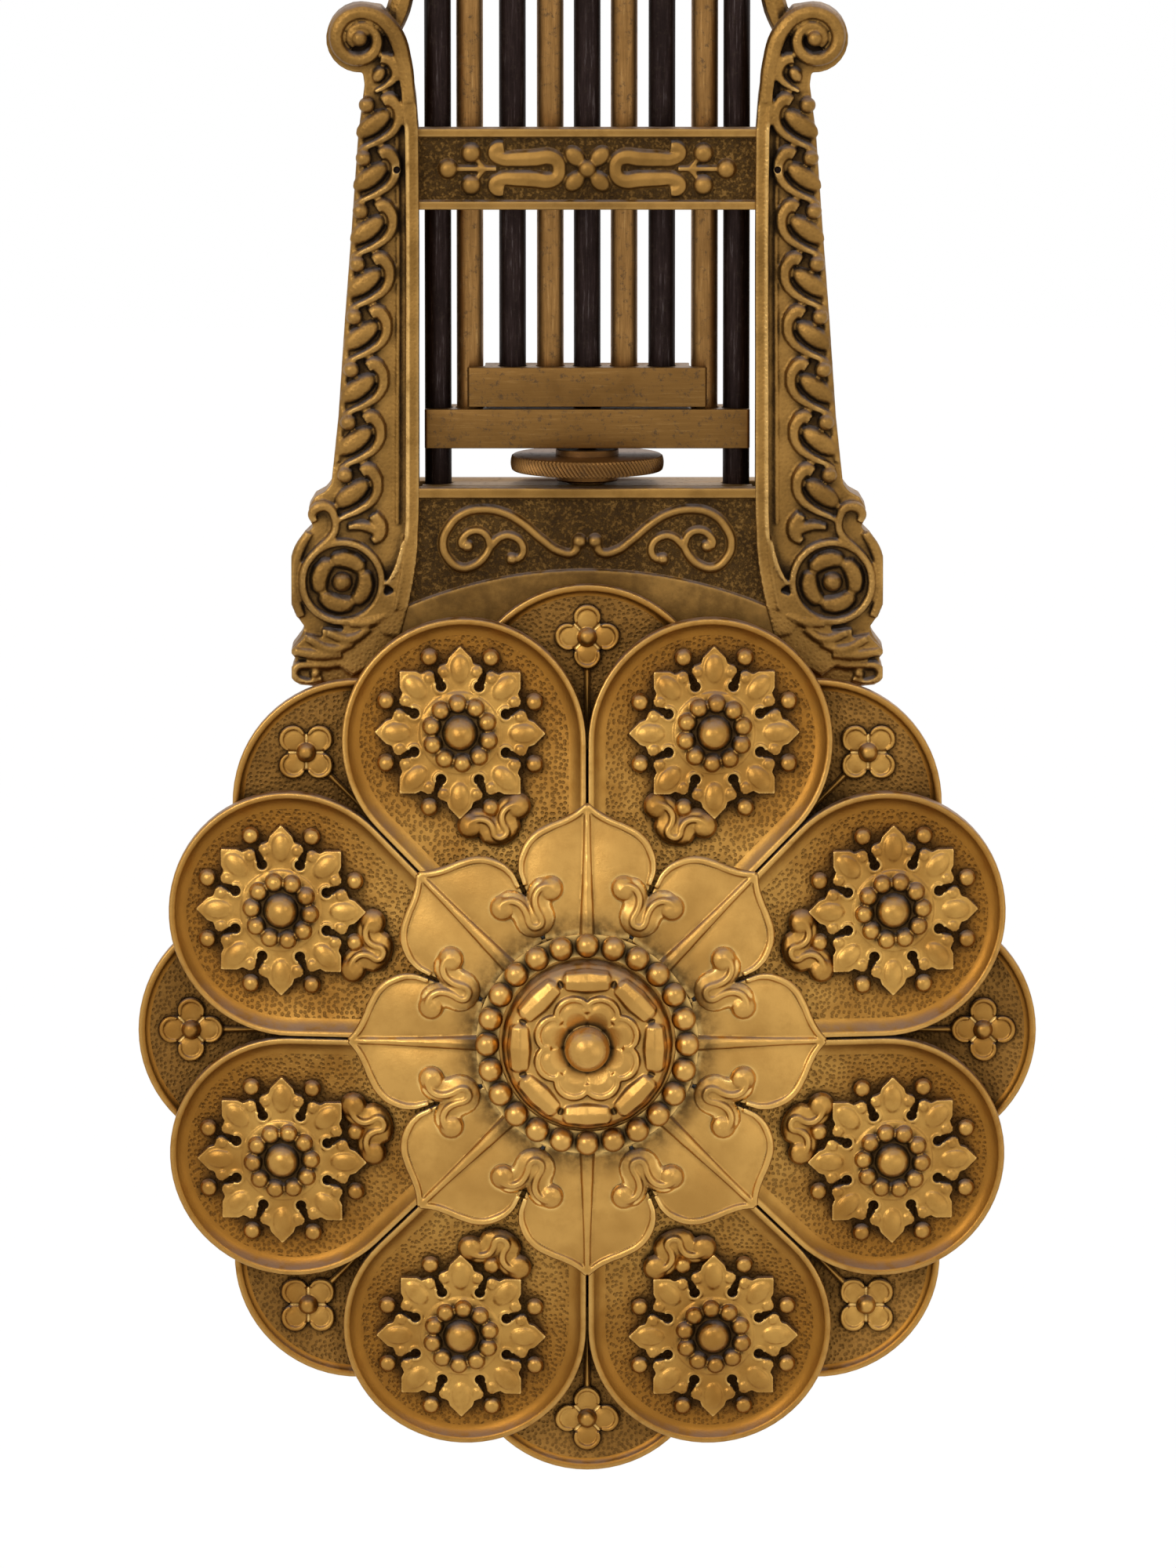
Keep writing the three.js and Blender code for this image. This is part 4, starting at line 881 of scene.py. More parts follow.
def small_flower(depth):
    """Four cupped petals, a ball and a stem that points to the middle of the bob."""
    forms = []
    for i in range(FLOWER_PETALS):
        angle = i * TURN / FLOWER_PETALS
        x, z = arc((0, 0), 2.25, [angle])[0]
        forms.append(ball(x, z, depth, 1.75, 0.95, 0.98, 0.32, angle, 14))
        turns = [angle + math.radians(-108 + 36 * k) for k in range(7)]
        rim = arc((x * 0.98, z * 0.98), 1.45, turns)
        forms.append(ridge(rim, [0.18, 0.28, 0.32, 0.34, 0.32, 0.28, 0.18], depth + 0.42))
    forms.append(ball(0, 0, depth + 0.45, 1.15))
    forms.append(ridge([(-3.2, 0), (-8, 0), (-14, 0)], [0.42, 0.38, 0.3], depth + 0.1))
    flower = cast(forms, 0.13, 1, 0.5)
    for vertex in flower.data.vertices:
        vertex.co.y = min(vertex.co.y, -depth - 0.05)
    flower.location.x = flower_at
    return fix_place(flower)


back_lobe = hollow_petal(BOB_RADIUS, 0.05, BACK_SEAT, back_front, 0.7, 0.7, BACK_DISH,
                         ("petal_gilt", "back_gilt"))
flower = coat(small_flower(back_front - BACK_DISH - 0.2), "flower_gilt")
hub_top = hub_front - PETAL_THICK - 0.4
back_hub = turned([(HUB_BORE, BACK_SEAT), (HUB_RADIUS, BACK_SEAT), (HUB_RADIUS - 0.3, hub_top),
                   (HUB_BORE, hub_top)])
lobes = all_round(back_lobe, LOBES)
flowers = all_round(flower, LOBES)
settle(fuse([lobes, flowers, back_hub]), "back_lobes", "back_plate")

# %% [markdown]
# Each petal is pinned with a cast rosette. Eight leaves with three points each lie round a raised
# collar, ten beads and a domed eye, and small balls sit between the leaf tips. The first leaf
# is drawn once on its own axis and turned into place before the casting, because all eight are
# one piece of metal.

# %% Model the rosette
ROSETTE_REACH = 10.45
ROSETTE_SHIFT = 1.2
ROSETTE_SINK = 0.1
LEAF = [(4.6, 1.88), (5.1, 1.75), (5.5, 1.6), (6.0, 1.72), (6.35, 2.1), (6.8, 2.5), (7.3, 2.78),
        (7.75, 2.72), (8.05, 2.45), (8.2, 1.95), (8.35, 1.6), (9.0, 1.42)]
KEYHOLE = (5.59, 2.31)


def around(middle, radius, degrees):
    """Points on a circle about a middle, at the given angles in degrees."""
    return arc(middle, radius, [math.radians(degree) for degree in degrees])


def rosette_leaf(angle):
    """Leaf with three points, domed on top, and the lip of the keyhole beside it."""
    forms = [plate(LEAF + [(ROSETTE_REACH, 0)] + mirrored(LEAF), -0.3, 1.2),
             ball(7.7, 0, 0.85, 1.0, 2.05, 1.4, 0.85, fine=16)]
    forms += [ball(7.3, side * 1.95, 0.95, 0.78, proud=0.75, fine=12) for side in (-1, 1)]
    forms.append(ridge(around(KEYHOLE, 0.82, range(62, 343, 35)), [0.24] * 9, 1.15))
    return turn_by(fuse(forms), angle)


def model_rosette():
    """One rosette about the origin, its floor at depth 0."""
    forms = [rosette_leaf((i + 0.5) * STEP) for i in range(LOBES)]
    forms.append(turned([(0, -0.3), (4.8, -0.3), (5.1, 1.0), (4.9, 1.4), (4.5, 1.45), (0, 1.2)], 48))
    forms += [ball(x, z, 0.6, 1.12, fine=14) for x, z in around((0, 0), 9.75, range(0, 360, 45))]
    forms += [ball(x, z, 1.7, 1.14, fine=14) for x, z in around((0, 0), 3.55, range(18, 360, 36))]
    forms.append(ball(0, 0, 1.55, 2.1, proud=1.0, fine=24))
    return cast(forms, 0.13, 1, 0.45)


rosette = model_rosette()
rosette_at = FRONT_RADIUS / (1 + math.sin(math.pi / LOBES)) + ROSETTE_SHIFT
rosette.location = (rosette_at, -(floor_depth - ROSETTE_SINK), 0)
fix_place(rosette)
lean(rosette, PETAL_SLOPE, FRONT_RADIUS)
for index in range(LOBES):
    number = str(index + 1)
    settle(turn_by(copy_of(rosette), (index + 0.5) * STEP), "rosette_cast_" + number, "rosette_" + number)
discard(rosette)

# %% [markdown]
# The calyx is a star of eight pointed leaves over the inner ends of the petals. Every leaf has a
# thin raised edge and a midrib that starts broad under the beads and runs out to a bright line.
# Where two leaves meet, a clasp like those on the petals holds them together.

# %% Model the calyx
CALYX_REACH = 29.3
CALYX_SLOPE = 0.12
CALYX_FLOOR = 16.03
CALYX_SWELL = 0.5
CALYX_HALF = [(12.6, 5.0), (19.6, 7.85), (21.6, 8.35), (23.7, 7.9), (25.4, 6.7), (26.5, 4.9),
              (27.3, 3.0), (28.2, 1.4)]
SEAT_RADIUS = 13.8
SEAT_DEPTH = 17.87
SEAT_THICK = 1.5


def swell(x, z):
    """How far the metal rises between the rib and the edge, 0 outside the swell."""
    along = 1 - ((x - 20.2) / 6.8) ** 2
    across = 1 - ((abs(z) - 3.8) / 3.4) ** 2
    return CALYX_SWELL * along * across if min(along, across) > 0 else 0


def calyx_leaf():
    """One leaf on its own axis, before it leans back, with a gentle swell on each side of the rib."""
    outline = CALYX_HALF + [(CALYX_REACH - 0.2, 0)] + mirrored(CALYX_HALF)
    forms = [plate(outline, CALYX_FLOOR - 1.1, CALYX_FLOOR)]
    for side in (-1, 1):
        edge = [(x - 0.25, side * (z - 0.3)) for x, z in CALYX_HALF[1:]] + [(CALYX_REACH - 0.4, 0)]
        forms.append(ridge(edge, [0.3, 0.4, 0.48, 0.5, 0.5, 0.48, 0.42, 0.4], CALYX_FLOOR + 0.02))
    rib = [(12.8, 0), (17, 0), (22, 0), (26, 0), (28.8, 0)]
    forms.append(ridge(rib, [0.95, 0.82, 0.58, 0.42, 0.34], CALYX_FLOOR + 0.08))
    piece = cast(forms, 0.15, 1)
    for vertex in piece.data.vertices:
        if abs(vertex.co.y + CALYX_FLOOR) < 0.1:
            vertex.co.y -= swell(vertex.co.x, vertex.co.z)
    return modify(piece, "DECIMATE", ratio=0.3)


leaf = lean(calyx_leaf(), CALYX_SLOPE, CALYX_REACH)
calyx_clasp = lean(clasp(14.4, 1.0, CALYX_FLOOR), CALYX_SLOPE, CALYX_REACH)
calyx_seat = washer(HUB_BORE, SEAT_RADIUS, SEAT_DEPTH - SEAT_THICK, SEAT_DEPTH)
leaves = all_round(leaf, LOBES)
leaf_clasps = all_round(calyx_clasp, LOBES, STEP / 2)
settle(fuse([leaves, leaf_clasps, calyx_seat]), "calyx_leaves", "calyx")

# %% [markdown]
# Twenty-four beads stand on a thin band round the boss. One ball is made, sunk a little into the
# band, and copied round. The beads nearly touch, as if a cup punch had struck them side by side.

# %% Model the bead ring
BEADS = 24
BEAD_RADIUS = 1.5
BEAD_SINK = 0.46
RING_RADIUS = 12.15
RING_BACK = SEAT_DEPTH + 0.3
BAND_HALF = 1.35
BAND_THICK = 0.6
bead = ball(RING_RADIUS, 0, RING_BACK + BEAD_RADIUS - BEAD_SINK, BEAD_RADIUS, fine=24)
beads = all_round(bead, BEADS)
band = washer(RING_RADIUS - BAND_HALF, RING_RADIUS + BAND_HALF, RING_BACK, RING_BACK + BAND_THICK)
ring = smooth(coat(fuse([beads, band]), "bead_gilt"), 50)
settle(ring, "bead_circle", "bead_ring")

# %% [markdown]
# The boss is the jewel of the bob. A turned mound carries eight bars set as an octagon, with
# a keyhole between each pair. Inside them lies an open flower of eight round petals, hollowed
# towards a cup, and a ball stands in the cup. The keyholes are real holes, cut by pins.

# %% Model the boss
BOSS_BACK = SEAT_DEPTH + 0.3
BOSS_GRAIN = 0.12


def boss_bar(angle):
    """One rounded bar of the octagon, square to its own axis."""
    path = [(8.15, z) for z in (-2.95, -2.5, 0, 2.5, 2.95)]
    return turn_by(ridge(path, [0.8, 1.3, 1.6, 1.3, 0.8], BOSS_BACK + 3.2, 0.9), angle)


def boss_petal(angle):
    """Round petal of the inner flower with a thin raised edge."""
    turns = [math.radians(-105 + 35 * k) for k in range(7)]
    edge = [(4.5 + 1.8 * math.cos(turn), 2.0 * math.sin(turn)) for turn in turns]
    forms = [ball(4.5, 0, BOSS_BACK + 3.1, 2.2, 1.0, 0.97, 0.45),
             ridge(edge, [0.3, 0.36, 0.42, 0.44, 0.42, 0.36, 0.3], BOSS_BACK + 3.75)]
    return turn_by(fuse(forms), angle)


def boss_turned(profile, steps=96):
    """Turned form from radii and rises over the back of the boss."""
    return turned([(radius, BOSS_BACK + rise) for radius, rise in profile], steps)


def model_boss():
    """Mound, bars and petals cast together, the cup and keyholes cut, and the ball set in the cup."""
    forms = [boss_turned([(0, 0), (10.4, 0), (10.4, 1.1), (10.35, 1.7), (10.05, 2.5), (9.5, 3.25),
                          (8.9, 3.65), (8.3, 3.75), (7.0, 3.65), (6.2, 3.5), (5.0, 3.2), (0, 3.2)])]
    forms += [boss_bar(i * STEP) for i in range(LOBES)]
    forms += [boss_petal((i + 0.5) * STEP) for i in range(LOBES)]
    body = cast(forms, BOSS_GRAIN, 3)
    cutters = [boss_turned([(0, 3.45), (2.75, 3.4), (5.0, 4.15), (5.0, 9), (0, 9)], 64)]
    for i in range(LOBES):
        cutters.append(turn_by(ball(8.5, 0, BOSS_BACK + 4.3, 0.5, 1.5, 0.8, 2.0), (i + 0.5) * STEP))
    cut(body, fuse(cutters))
    eye = ball(0, 0, BOSS_BACK + 4.4, 2.75, fine=32)
    neck = boss_turned([(0, 1.6), (2.4, 1.6), (2.2, 3.4), (0, 3.4)], 48)
    return coat(cast([body, eye, neck], BOSS_GRAIN, 1, 0.6), "bead_gilt")


settle(model_boss(), "boss_flower", "centre_boss")

# %% [markdown]
# The lyre arms carry the bob. They are the most ornate castings of all: a scrolled volute at the
# top, a column of leaf curls with balls down the outer edge, a roundel with a flower and a leafy
# foot. The outline is cut as a plate, with its field sunk behind the smooth inner band, and all the
# ornament is laid on as ridges and balls before the casting. The left arm is a mirror copy.

# %% Model the right lyre arm
ARM_BACK = -1.0
FIELD = 5.0
BAND_TOP = 6.1
LEAF_TOP = 5.8
VOLUTE = (27.5, 121.2)
VOLUTE_RADIUS = 4.15
ROUNDEL = (29.9, 54.9)
PIN_HOLE = (23.1, 105.35)
PIN_RADIUS = 0.42
CREST_DEPTH = 2.4
SPIRAL_EYE = 0.28
ARM_GRAIN = 0.19
FOOT_INNER = [(28.0, 42.1), (24.6, 45.2), (22.8, 48.2)]
ARM_INNER = [(21.9, 51.6), (21.3, 54.6), (20.8, 57.8), (20.55, 62.0), (20.5, 66.5), (20.5, 110.0),
             (20.8, 114.0), (21.5, 118.6), (22.9, 122.6), (25.0, 125.0)]
ARM_OUTER = [(27.2, 117.0), (27.0, 115.6), (27.3, 113.4), (27.8, 109.5), (28.6, 98.4), (29.5, 86.8),
             (30.3, 75.2), (30.9, 69.6), (31.2, 66.9), (31.9, 66.0), (33.2, 65.3), (33.95, 64.0),
             (33.9, 62.6), (33.4, 61.6), (34.6, 60.4), (35.6, 58.4), (36.1, 55.6), (36.0, 52.8),
             (35.4, 50.6), (34.5, 49.3), (34.9, 48.3), (36.1, 46.7), (36.1, 46.0), (35.6, 45.4),
             (36.1, 44.2), (36.0, 43.0), (35.2, 42.2), (33.6, 42.0)]

# The inner band ends in a leaf with two tongues beside the roundel.
BAND_LEAF = [(20.7, 60.0), (22.3, 60.5), (22.7, 58.2), (23.3, 56.4), (24.5, 54.6), (23.8, 54.2),
             (23.4, 53.8), (25.0, 53.2), (26.3, 51.9), (27.4, 50.7), (26.4, 49.9), (25.6, 49.7),
             (24.8, 48.6), (22.8, 48.2), (21.9, 51.6), (21.3, 54.6), (20.8, 57.8)]
SMALL_CURL = [(25.0, 118.9), (24.0, 118.7), (23.3, 117.8), (23.2, 116.8), (24.1, 115.7), (25.7, 114.8)]


def arm_outline():
    """Inner edge upwards, round the volute, and down the outer edge."""
    head = around(VOLUTE, VOLUTE_RADIUS, [105 - 200 * i / 14 for i in range(15)])
    return FOOT_INNER + ARM_INNER + head + ARM_OUTER


def leaf_unit(x, z):
    """Ball by the outer edge, the long lobe under it and the comma that wraps both."""
    comma = [(x - 2.0, z + 0.3), (x - 2.65, z + 0.75), (x - 3.5, z + 0.15), (x - 3.95, z - 1.2),
             (x - 3.45, z - 2.9), (x - 1.9, z - 4.2), (x + 0.1, z - 5.15), (x + 1.05, z - 5.7)]
    return [ball(x, z, FIELD + 0.65, 1.0, fine=14),
            ball(x - 0.85, z - 2.3, FIELD + 0.25, 1.25, 2.1, 1.0, 0.75, math.radians(-37), 14),
            ridge(comma, [0.75, 0.9, 0.8, 0.7, 0.62, 0.5, 0.4, 0.28], FIELD + 0.55)]


def spiral(middle, radius, turns, start):
    """Points of a spiral that winds clockwise from its start angle into its eye."""
    points = []
    count = round(turns * 10)
    for i in range(count + 1):
        wound = i / count
        reach = radius * (1 - (1 - SPIRAL_EYE) * wound)
        points += arc(middle, reach, [start - wound * turns * TURN])
    return points


def volute():
    """Ribbon that comes up the inner edge and winds into the eye."""
    winding = spiral(VOLUTE, VOLUTE_RADIUS - 0.75, 1.45, math.radians(110))
    path = [(21.6, 113.5), (22.1, 118.0), (23.6, 122.3)] + winding
    thick = [0.8, 1.0, 1.1] + [1.05 - 0.5 * i / len(winding) for i in range(len(winding))]
    return [ridge(path, thick, FIELD + 0.6, 1.15),
            ball(VOLUTE[0] + 0.1, VOLUTE[1] + 0.1, FIELD + 0.9, 1.05, fine=16)]


def roundel():
    """Ring with four bean-shaped petals bent round a ball."""
    forms = [ridge(around(ROUNDEL, 4.85, range(0, 361, 15)), [0.5] * 25, FIELD + 0.6)]
    for turn in range(17, 360, 90):
        petal = around(ROUNDEL, 2.8, (turn - 27, turn - 12, turn + 12, turn + 27))
        forms.append(ridge(petal, [1.0, 1.15, 1.15, 1.0], FIELD + 0.2, 0.75))
        forms += [ball(*end, FIELD + 0.2, 1.0, proud=0.8, fine=12) for end in (petal[0], petal[-1])]
    forms.append(ball(*ROUNDEL, FIELD + 0.55, 1.2, fine=16))
    return forms


def arm_foot():
    """Scrolled shoulder over the roundel, a bud beside it and the leaf that wraps round under it."""
    shoulder = [(33.2, 62.3), (33.5, 63.3), (32.6, 64.2), (31.4, 64.0), (30.8, 62.9), (30.7, 61.4),
                (31.4, 60.2), (32.8, 58.9), (34.1, 57.3)]
    rim = [(33.9, 60.9), (35.1, 58.8), (35.75, 55.8), (35.6, 52.9), (34.9, 50.6)]
    bud = [(26.1, 63.2), (25.2, 61.8), (25.4, 60.5), (26.2, 59.9)]
    sprig = [(25.8, 61.4), (27.6, 61.8), (29.2, 61.6)]
    leaf = [(22.3, 53.2), (24.2, 52.4), (25.6, 51.8), (26.9, 51.2), (27.7, 50.3), (29.3, 50.5),
            (29.9, 49.7), (29.7, 48.9), (32.3, 49.2), (32.3, 48.1), (34.4, 48.5), (34.8, 47.9),
            (36.1, 46.6), (36.1, 46.0), (33.8, 45.4), (31.0, 45.1), (28.6, 43.4), (25.2, 45.4),
            (23.2, 48.2), (22.0, 51.2)]
    folds = [[(24.4, 50.9), (26.6, 50.0), (28.9, 49.9)], [(26.6, 49.2), (28.9, 47.9), (31.7, 48.7)],
             [(28.6, 47.4), (31.2, 46.6), (34.1, 48.0)], [(30.0, 46.0), (33.0, 46.0), (35.7, 46.4)]]
    roll = [(29.6, 45.0), (31.6, 44.7), (34.0, 44.7), (35.5, 44.4), (35.7, 43.3), (34.4, 42.6), (32.4, 42.9)]
    forms = [ridge(shoulder, [0.45, 0.6, 0.72, 0.65, 0.5, 0.5, 0.5, 0.5, 0.45], FIELD + 0.6),
             ridge(rim, [0.6, 0.75, 0.75, 0.75, 0.6], FIELD - 0.1),
             ridge(bud, [0.75, 0.85, 0.75, 0.5], FIELD + 0.45, 0.9),
             ridge(sprig, [0.75, 0.6, 0.35], FIELD + 0.35),
             plate(leaf, ARM_BACK + 0.3, LEAF_TOP)]
    forms += [ridge(fold, [0.45, 0.7, 0.5], LEAF_TOP, 0.85) for fold in folds]
    forms.append(ridge(roll, [0.4, 0.5, 0.5, 0.55, 0.5, 0.4, 0.3], FIELD + 0.35))
    forms.append(ball(33.2, 43.6, FIELD + 0.1, 0.7, fine=14))
    return forms


def crest():
    """Scroll that rises from the volute's shoulder and curls over at the top."""
    stem = [(24.4, 120.8), (22.9, 124.6), (22.2, 128.0), (22.0, 134.0), (23.3, 140.0), (25.5, 144.6)]
    eye = (27.4, 144.9)
    curl = spiral(eye, 1.6, 0.9, math.radians(170))
    side = [(22.3, 127.4), (20.9, 129.2), (20.2, 127.6), (21.2, 126.3)]
    return [ridge(stem + curl, [1.2, 1.5, 1.45, 1.35, 1.2, 1.1] + [0.95] * len(curl), CREST_DEPTH, 1.15),
            ball(*eye, CREST_DEPTH, 1.0, proud=1.5, fine=14),
            ridge(side, [1.1, 0.9, 0.8, 0.7], CREST_DEPTH, 1.3)]


def arm_band():
    """Smooth band up the inner edge, the bright lines along it, and the leaf that it ends in."""
    edge = ARM_INNER[:9]
    band = edge + [(x + 1.45, z) for x, z in reversed(edge)]
    rib = [(22.5, 60.0), (22.9, 58.0), (23.6, 56.0), (24.5, 54.7)]
    return [plate(band, ARM_BACK + 0.3, BAND_TOP),
            ridge([(x + 1.5, z) for x, z in edge], [0.2] * 9, BAND_TOP + 0.02),
            ridge([(x + 0.3, z) for x, z in edge], [0.34] * 9, BAND_TOP - 0.28),
            ridge([(x + 2.6, z) for x, z in edge[3:8]], [0.3] * 5, FIELD - 0.02),
            plate(BAND_LEAF, ARM_BACK + 0.3, BAND_TOP - 0.04),
            ridge(rib, [0.2, 0.28, 0.32, 0.2], BAND_TOP - 0.05)]


def model_arm():
    """The plate and all its ornament cast in one, with the small pin hole drilled beside the bar."""
    forms = [plate(arm_outline(), ARM_BACK, FIELD)] + arm_band()
    forms.append(ridge(SMALL_CURL, [0.7, 0.75, 0.7, 0.62, 0.45, 0.25], FIELD + 0.55))
    forms.append(ball(25.2, 116.9, FIELD + 0.3, 0.85, 1.3, 0.9, 0.9, math.radians(-60), 12))
    for index in range(8):
        forms += leaf_unit(26.75 + 0.39 * index, 113.2 - 6.45 * index)
    outer = [(x - 0.45, z) for x, z in ARM_OUTER[2:8]]
    forms.append(ridge(outer, [0.4] * len(outer), FIELD - 0.05))
    forms += volute() + roundel() + arm_foot() + crest()
    body = cast(forms, ARM_GRAIN, 1)
    cut(body, cylinder(20, PIN_RADIUS, 3, (PIN_HOLE[0], -BAND_TOP - 0.5, PIN_HOLE[1]), "Y"))
    modify(body, "DECIMATE", ratio=0.5)
    bpy.ops.object.shade_smooth()
    return body


def keep_in(piece, node):
    """Holds a piece inside the box of its frame node."""
    left, right, front, back, low, high = span(node)
    for vertex in piece.data.vertices:
        vertex.co.x = min(max(vertex.co.x, left), right)
        vertex.co.y = min(max(vertex.co.y, -max(front, back)), -min(front, back))
        vertex.co.z = min(max(vertex.co.z, low), high)
    return piece


arm_right = keep_in(model_arm(), "lyre_arm_right")
arm_left = copy_of(arm_right)
arm_left.scale.x = -1
fix_place(arm_left)
edit_all()
close_skin()
settle(arm_right, "lyre_right", "lyre_arm_right")
settle(arm_left, "lyre_left", "lyre_arm_left")

# %% [markdown]
# The cross bar ties the arms in front of the rods. Between two plain rims lies a stippled ground
# with a flower in the middle, a tulip opening to each side and three balls on a forked stem. Only
# one side is drawn, and the list of forms is mirrored by the sign of x.

# %% Model the cross bar
CROSS_HALF = 21.2
CROSS_FRONT = 5.2
CROSS_FLOOR = 4.45
CROSS_BACK = 2.2
CROSS_RIM = 1.05
cross_low, cross_high = span("cross_bar")[4:]
cross_middle = (cross_low + cross_high) / 2


def strip(half, low, high, back, front):
    """Straight bar across the middle, between two heights and two depths."""
    return plate([(-half, low), (half, low), (half, high), (-half, high)], back, front)


def cross_relief(side):
    """Tulip, forked stem and three balls on one side of the flower."""
    def at(x, z):
        return side * x, cross_middle + z

    half = [(10.1, 2.65), (10.9, 2.6), (11.35, 1.95), (10.6, 1.3), (8.5, 1.2), (6.2, 1.3), (4.6, 1.45),
            (3.65, 0.95)]
    tulip = [at(*point) for point in half + [(3.4, 0)] + mirrored(half)]
    thick = [0.75, 0.88, 0.88, 0.95, 1.1, 1.15, 1.1, 1.0]
    stem = [at(11.0, 0), at(12.9, 0), at(14.8, 0), at(16.4, 0)]
    forms = [ridge(tulip, thick + [0.95] + thick[::-1], CROSS_FLOOR + 0.05, 0.7),
             ridge(stem, [0.3, 0.4, 0.4, 0.4], CROSS_FLOOR + 0.15)]
    for x, z in ((16.9, 0), (14.1, 1.95), (14.1, -1.95)):
        fork = [at(12.4, 0), at(13.2, z * 0.45), at(x - 0.5, z * 0.9)]
        forms.append(ball(*at(x, z), CROSS_FLOOR + 0.15, 1.25, proud=0.85, fine=14))
        forms.append(ridge(fork, [0.35] * 3, CROSS_FLOOR + 0.1))
    return forms


def cross_flower():
    """Ball with four petals set cornerwise."""
    forms = [ball(0, cross_middle, CROSS_FLOOR + 0.4, 1.1, proud=0.8, fine=16)]
    for i in range(4):
        angle = (i + 0.5) * TURN / 4
        x, z = arc((0, cross_middle), 2.15, [angle])[0]
        forms.append(ball(x, z, CROSS_FLOOR + 0.1, 1.0, 1.5, 1.12, 0.78, angle, 14))
    return forms


def model_cross_bar():
    """Sunk ground, two rims and the relief between them."""
    forms = [strip(CROSS_HALF, cross_low + 0.2, cross_high - 0.2, CROSS_BACK, CROSS_FLOOR),
             strip(CROSS_HALF, cross_low, cross_low + CROSS_RIM, CROSS_BACK, CROSS_FRONT),
             strip(CROSS_HALF, cross_high - CROSS_RIM, cross_high, CROSS_BACK, CROSS_FRONT)]
    forms += cross_relief(1) + cross_relief(-1) + cross_flower()
    return coat(cast(forms, 0.14, 1, 0.5), "cross_bronze")


settle(model_cross_bar(), "cross_bar_cast", "cross_bar")

# %% [markdown]
# The base panel closes the frame above the bob. A bright ledge runs along its top, two mirrored
# scrolls wind over a dark stippled ground, and its lower edge swells into an arc that seats the
# round bob.

# %% Model the base panel
PANEL_TOP = 66.5
PANEL_BACK = 3.9
PANEL_FLOOR = 5.05
PANEL_RIM = 5.9
PANEL_HALF = 21
LEDGE_HIGH = 1.3
PAD_FRONT = 5.75
PAD_RADIUS = 56.4
PAD_INNER = 48
COVER_REACH = 40.4
COVER_HALF = 16


def panel_outline():
    """Between the arms, with a lower edge that follows the round case behind the bob."""
    side = [(x + 0.9, z) for x, z in ARM_INNER[:5]]
    turn = math.acos(COVER_HALF / COVER_REACH)
    turns = [math.pi - turn - (math.pi - 2 * turn) * i / 20 for i in range(21)]
    return [(-x, z) for x, z in reversed(side)] + arc((0, 0), COVER_REACH, turns) + side


def pad_outline():
    """Raised arc round the bob, cut off by the arms."""
    outer = around((0, 0), PAD_RADIUS, [117.5 - 55 * i / 24 for i in range(25)])
    return outer + around((0, 0), PAD_INNER, [62.5 + 55 * i / 16 for i in range(17)])


def panel_scroll(side):
    """One long scroll that starts at the middle, winds outwards and forks into two eyes."""
    stem = [(1.05, 59.8), (1.7, 58.5), (3.5, 58.7), (5.4, 60.0), (7.9, 62.1), (10.0, 63.3), (12.6, 63.8),
            (15.1, 63.3), (16.9, 61.6), (17.6, 59.5), (16.9, 57.7), (15.4, 56.6), (13.8, 56.9),
            (12.6, 57.9), (11.8, 59.2)]
    left = [(11.8, 59.2), (12.3, 60.6), (13.5, 61.2), (14.9, 60.6), (15.3, 59.5), (14.7, 59.2)]
    right = [(11.8, 59.2), (10.5, 60.4), (9.2, 60.5), (7.9, 59.4), (8.1, 58.0), (9.2, 57.6)]
    height = PANEL_FLOOR + 0.2
    forms = []
    for path, thick in ((stem, [0.6] + [0.56] * 13 + [0.5]), (left, [0.5] * 6), (right, [0.5] * 6)):
        forms.append(ridge([(side * x, z) for x, z in path], thick, height))
    for x, z, radius in ((0.95, 59.9, 0.9), (14.6, 59.3, 0.75), (9.2, 57.7, 0.75)):
        forms.append(ball(side * x, z, height, radius, fine=14))
    return forms


def model_panel():
    """Sunk ground, the ledge over it, the arc under it and a scroll on each side."""
    forms = [plate(panel_outline(), PANEL_BACK, PANEL_FLOOR),
             strip(PANEL_HALF, PANEL_TOP - LEDGE_HIGH, PANEL_TOP, PANEL_BACK, PANEL_RIM),
             plate(pad_outline(), PANEL_BACK, PAD_FRONT)]
    forms += panel_scroll(1) + panel_scroll(-1)
    return coat(keep_in(cast(forms, 0.16, 1, 0.5), "base_panel"), "panel_bronze")


settle(model_panel(), "base_panel_cast", "base_panel")

# %% [markdown]
# The gridiron. Five iron and four brass rods hang in turn between short bars, so that the brass
# grows upwards as much as the iron grows down. Drawn rod is as round as a thing gets, so each is
# a fine cylinder with its ends broken, at the size that the frame gives.

# %% Model the rods
ROD_SIDES = 40
ROD_EDGE = 0.12
THREAD_RADIUS = 1.2
THREAD_CUT = 0.16
THREAD_STEPS = 40


def round_bar(node, axis, edge):
    """Smooth round bar along one axis, in the place of a faceted one."""
    left, right, front, back, low, high = span(node)
    length, width = {"X": (right - left, high - low), "Y": (front - back, high - low),
                     "Z": (high - low, right - left)}[axis]
    middle = ((left + right) / 2, -(front + back) / 2, (low + high) / 2)
    return soft_edges(cylinder(ROD_SIDES, width / 2, length, middle, axis), edge)


for node in frame["nodes"]:
    if "_rod_" in node and node != "steel_rod_centre":
        settle(round_bar(node, "Z", ROD_EDGE), node + "_round", node)


